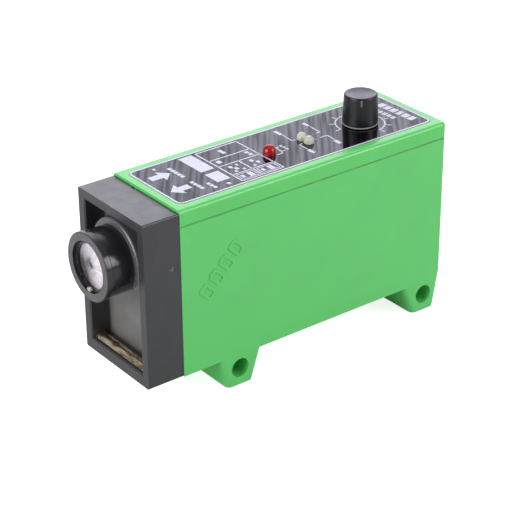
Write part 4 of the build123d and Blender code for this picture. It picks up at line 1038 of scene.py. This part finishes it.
def cut_thread(builder, centre_z, radius, start, end):
    """Presses a helical groove into a cylinder along Y, which runs out at both ends."""
    pitch = 1.0
    depth = 0.45
    run_out = 0.4
    for vert in builder.verts:
        out = Vector((vert.co.x, vert.co.z - centre_z))
        if not start < vert.co.y < end or out.length < radius - 0.05:
            continue
        turn = math.atan2(out.y, out.x) / math.tau
        phase = (vert.co.y / pitch - turn) % 1.0
        fade = min(1.0, (vert.co.y - start) / run_out, (end - vert.co.y) / run_out)
        cut = depth * fade * (1 - abs(2 * phase - 1))
        vert.co.x -= out.normalized().x * cut
        vert.co.z -= out.normalized().y * cut


def make_side_pip():
    """The small raised triangle moulded on the side of the nose."""
    low, high = box_mm("nose_frame")
    y = low.y + 8.3
    z = high.z - 15.2
    half = 0.9
    relief = 0.18
    sunk = 0.1
    foot = ((-half, 0), (half, -half), (half, half))
    crest = ((-half * 0.6, 0), (half * 0.8, -half * 0.7), (half * 0.8, half * 0.7))
    builder = bmesh.new()
    inner = [builder.verts.new((high.x - sunk, y + along, z + up)) for along, up in foot]
    outer = [builder.verts.new((high.x + relief, y + along, z + up)) for along, up in crest]
    builder.faces.new(inner)
    builder.faces.new(outer[::-1])
    for i in range(3):
        j = (i + 1) % 3
        builder.faces.new((inner[i], outer[i], outer[j], inner[j]))
    add_piece("nose_side_pip", builder, "nose_mark", "sensor_body")


make_knob()
make_barrel()
make_side_pip()
make_yellow_rim_dab()
make_lamps()
make_plug()


# ---------------- stage, light, camera

AIM = Vector((0.53, -16.99, 23.19)) * MM
FLOOR_GLOW = 0.8
GLOW_DIRECTION = Vector((-0.70, 0.54, 0.47))
ROOM_DIM = 0.3
ROOM_BRIGHT = 0.45
PATCH = 1.75


def floor_material():
    """Pale grey that looks white to the camera and takes soft shadows."""
    s = Shader("pale_floor", (0.6, 0.6, 0.6), 0.6)
    s.colour(s.mix(s.noise(60.0, 2), (0.59, 0.59, 0.59), (0.62, 0.62, 0.62)))
    seen = s.node("ShaderNodeLightPath").outputs["Is Camera Ray"]
    s.set(Emission_Color=(1, 1, 1, 1))
    s.link(s.math("MULTIPLY", seen, FLOOR_GLOW), s.bsdf.inputs["Emission Strength"])
    # Clear from underneath, so that the sensor can be looked at from below.
    mixer = s.node("ShaderNodeMixShader")
    s.link(s.node("ShaderNodeNewGeometry").outputs["Backfacing"], mixer.inputs["Fac"])
    s.link(s.bsdf.outputs[0], mixer.inputs[1])
    s.link(s.node("ShaderNodeBsdfTransparent").outputs[0], mixer.inputs[2])
    s.link(mixer.outputs[0], s.tree.nodes["Material Output"].inputs["Surface"])
    return s.material


def make_floor():
    """A large square just under the feet."""
    builder = bmesh.new()
    half = 4.0
    level = cad_box[0].z - 0.0002
    directions = ((-1, -1), (1, -1), (1, 1), (-1, 1))
    builder.faces.new([builder.verts.new((x * half, y * half, level)) for x, y in directions])
    mesh = bpy.data.meshes.new("floor")
    builder.to_mesh(mesh)
    builder.free()
    floor = bpy.data.objects.new("floor", mesh)
    floor.data.materials.append(floor_material())
    bpy.context.scene.collection.objects.link(floor)


def smooth_rise(tree, value, start, end, low, high):
    """A strength that rises smoothly from low to high while value goes from start to end."""
    ranged = tree.nodes.new("ShaderNodeMapRange")
    ranged.interpolation_type = "SMOOTHSTEP"
    ranged.inputs["From Min"].default_value = start
    ranged.inputs["From Max"].default_value = end
    ranged.inputs["To Min"].default_value = low
    ranged.inputs["To Max"].default_value = high
    tree.links.new(value, ranged.inputs["Value"])
    return ranged.outputs["Result"]


def make_world():
    """A dim room that brightens towards the back, with a bright patch that glossy tops mirror."""
    world = bpy.data.worlds.new("studio")
    world.use_nodes = True
    bpy.context.scene.world = world
    tree = world.node_tree
    background = tree.nodes["Background"]
    direction = tree.nodes.new("ShaderNodeTexCoord").outputs["Generated"]
    towards = tree.nodes.new("ShaderNodeVectorMath")
    towards.operation = "DOT_PRODUCT"
    towards.inputs[1].default_value = GLOW_DIRECTION.normalized()
    tree.links.new(direction, towards.inputs[0])
    facing = towards.outputs["Value"]
    total = tree.nodes.new("ShaderNodeMath")
    tree.links.new(smooth_rise(tree, facing, -0.6, 0.8, ROOM_DIM, ROOM_BRIGHT), total.inputs[0])
    tree.links.new(smooth_rise(tree, facing, 0.72, 0.96, 0.0, PATCH), total.inputs[1])
    background.inputs["Color"].default_value = (0.96, 0.95, 1.06, 1)
    tree.links.new(total.outputs[0], background.inputs["Strength"])


def add_area(name, towards, distance, size, power):
    """A square soft light that stands off from the aim point and faces it."""
    light = bpy.data.lights.new(name, "AREA")
    light.shape = "SQUARE"
    light.size = size
    light.energy = power
    lamp = bpy.data.objects.new(name, light)
    bpy.context.scene.collection.objects.link(lamp)
    lamp.location = AIM + Vector(towards).normalized() * distance
    lamp.rotation_mode = "QUATERNION"
    lamp.rotation_quaternion = (AIM - lamp.location).to_track_quat("-Z", "Y")


def make_camera():
    """The photograph's camera: its direction, roll, distance and lens."""
    azimuth, elevation, roll = (math.radians(angle) for angle in (52.736, 27.718, -0.435))
    distance = 0.48975
    back = Vector((
        math.sin(azimuth) * math.cos(elevation), -math.cos(azimuth) * math.cos(elevation), math.sin(elevation)
    ))
    level_right = Vector((0, 0, 1)).cross(back).normalized()
    level_up = back.cross(level_right)
    right = level_right * math.cos(roll) + level_up * math.sin(roll)
    up = -level_right * math.sin(roll) + level_up * math.cos(roll)
    data = bpy.data.cameras.new("camera")
    data.lens = 122.28
    data.sensor_width = 36.0
    data.clip_start = 0.05
    data.clip_end = 20.0
    camera = bpy.data.objects.new("camera", data)
    turn = Matrix((right, up, back)).transposed().to_4x4()
    camera.matrix_world = Matrix.Translation(AIM + back * distance) @ turn
    bpy.context.scene.collection.objects.link(camera)
    bpy.context.scene.camera = camera


make_floor()
make_world()
add_area("key", towards=(0.0, -1.0, 0.35), distance=0.9, size=0.6, power=7.0)
add_area("side", towards=(0.75, 0.5, 0.4), distance=1.0, size=0.55, power=5.2)
make_camera()
bpy.context.scene.view_settings.view_transform = "Standard"
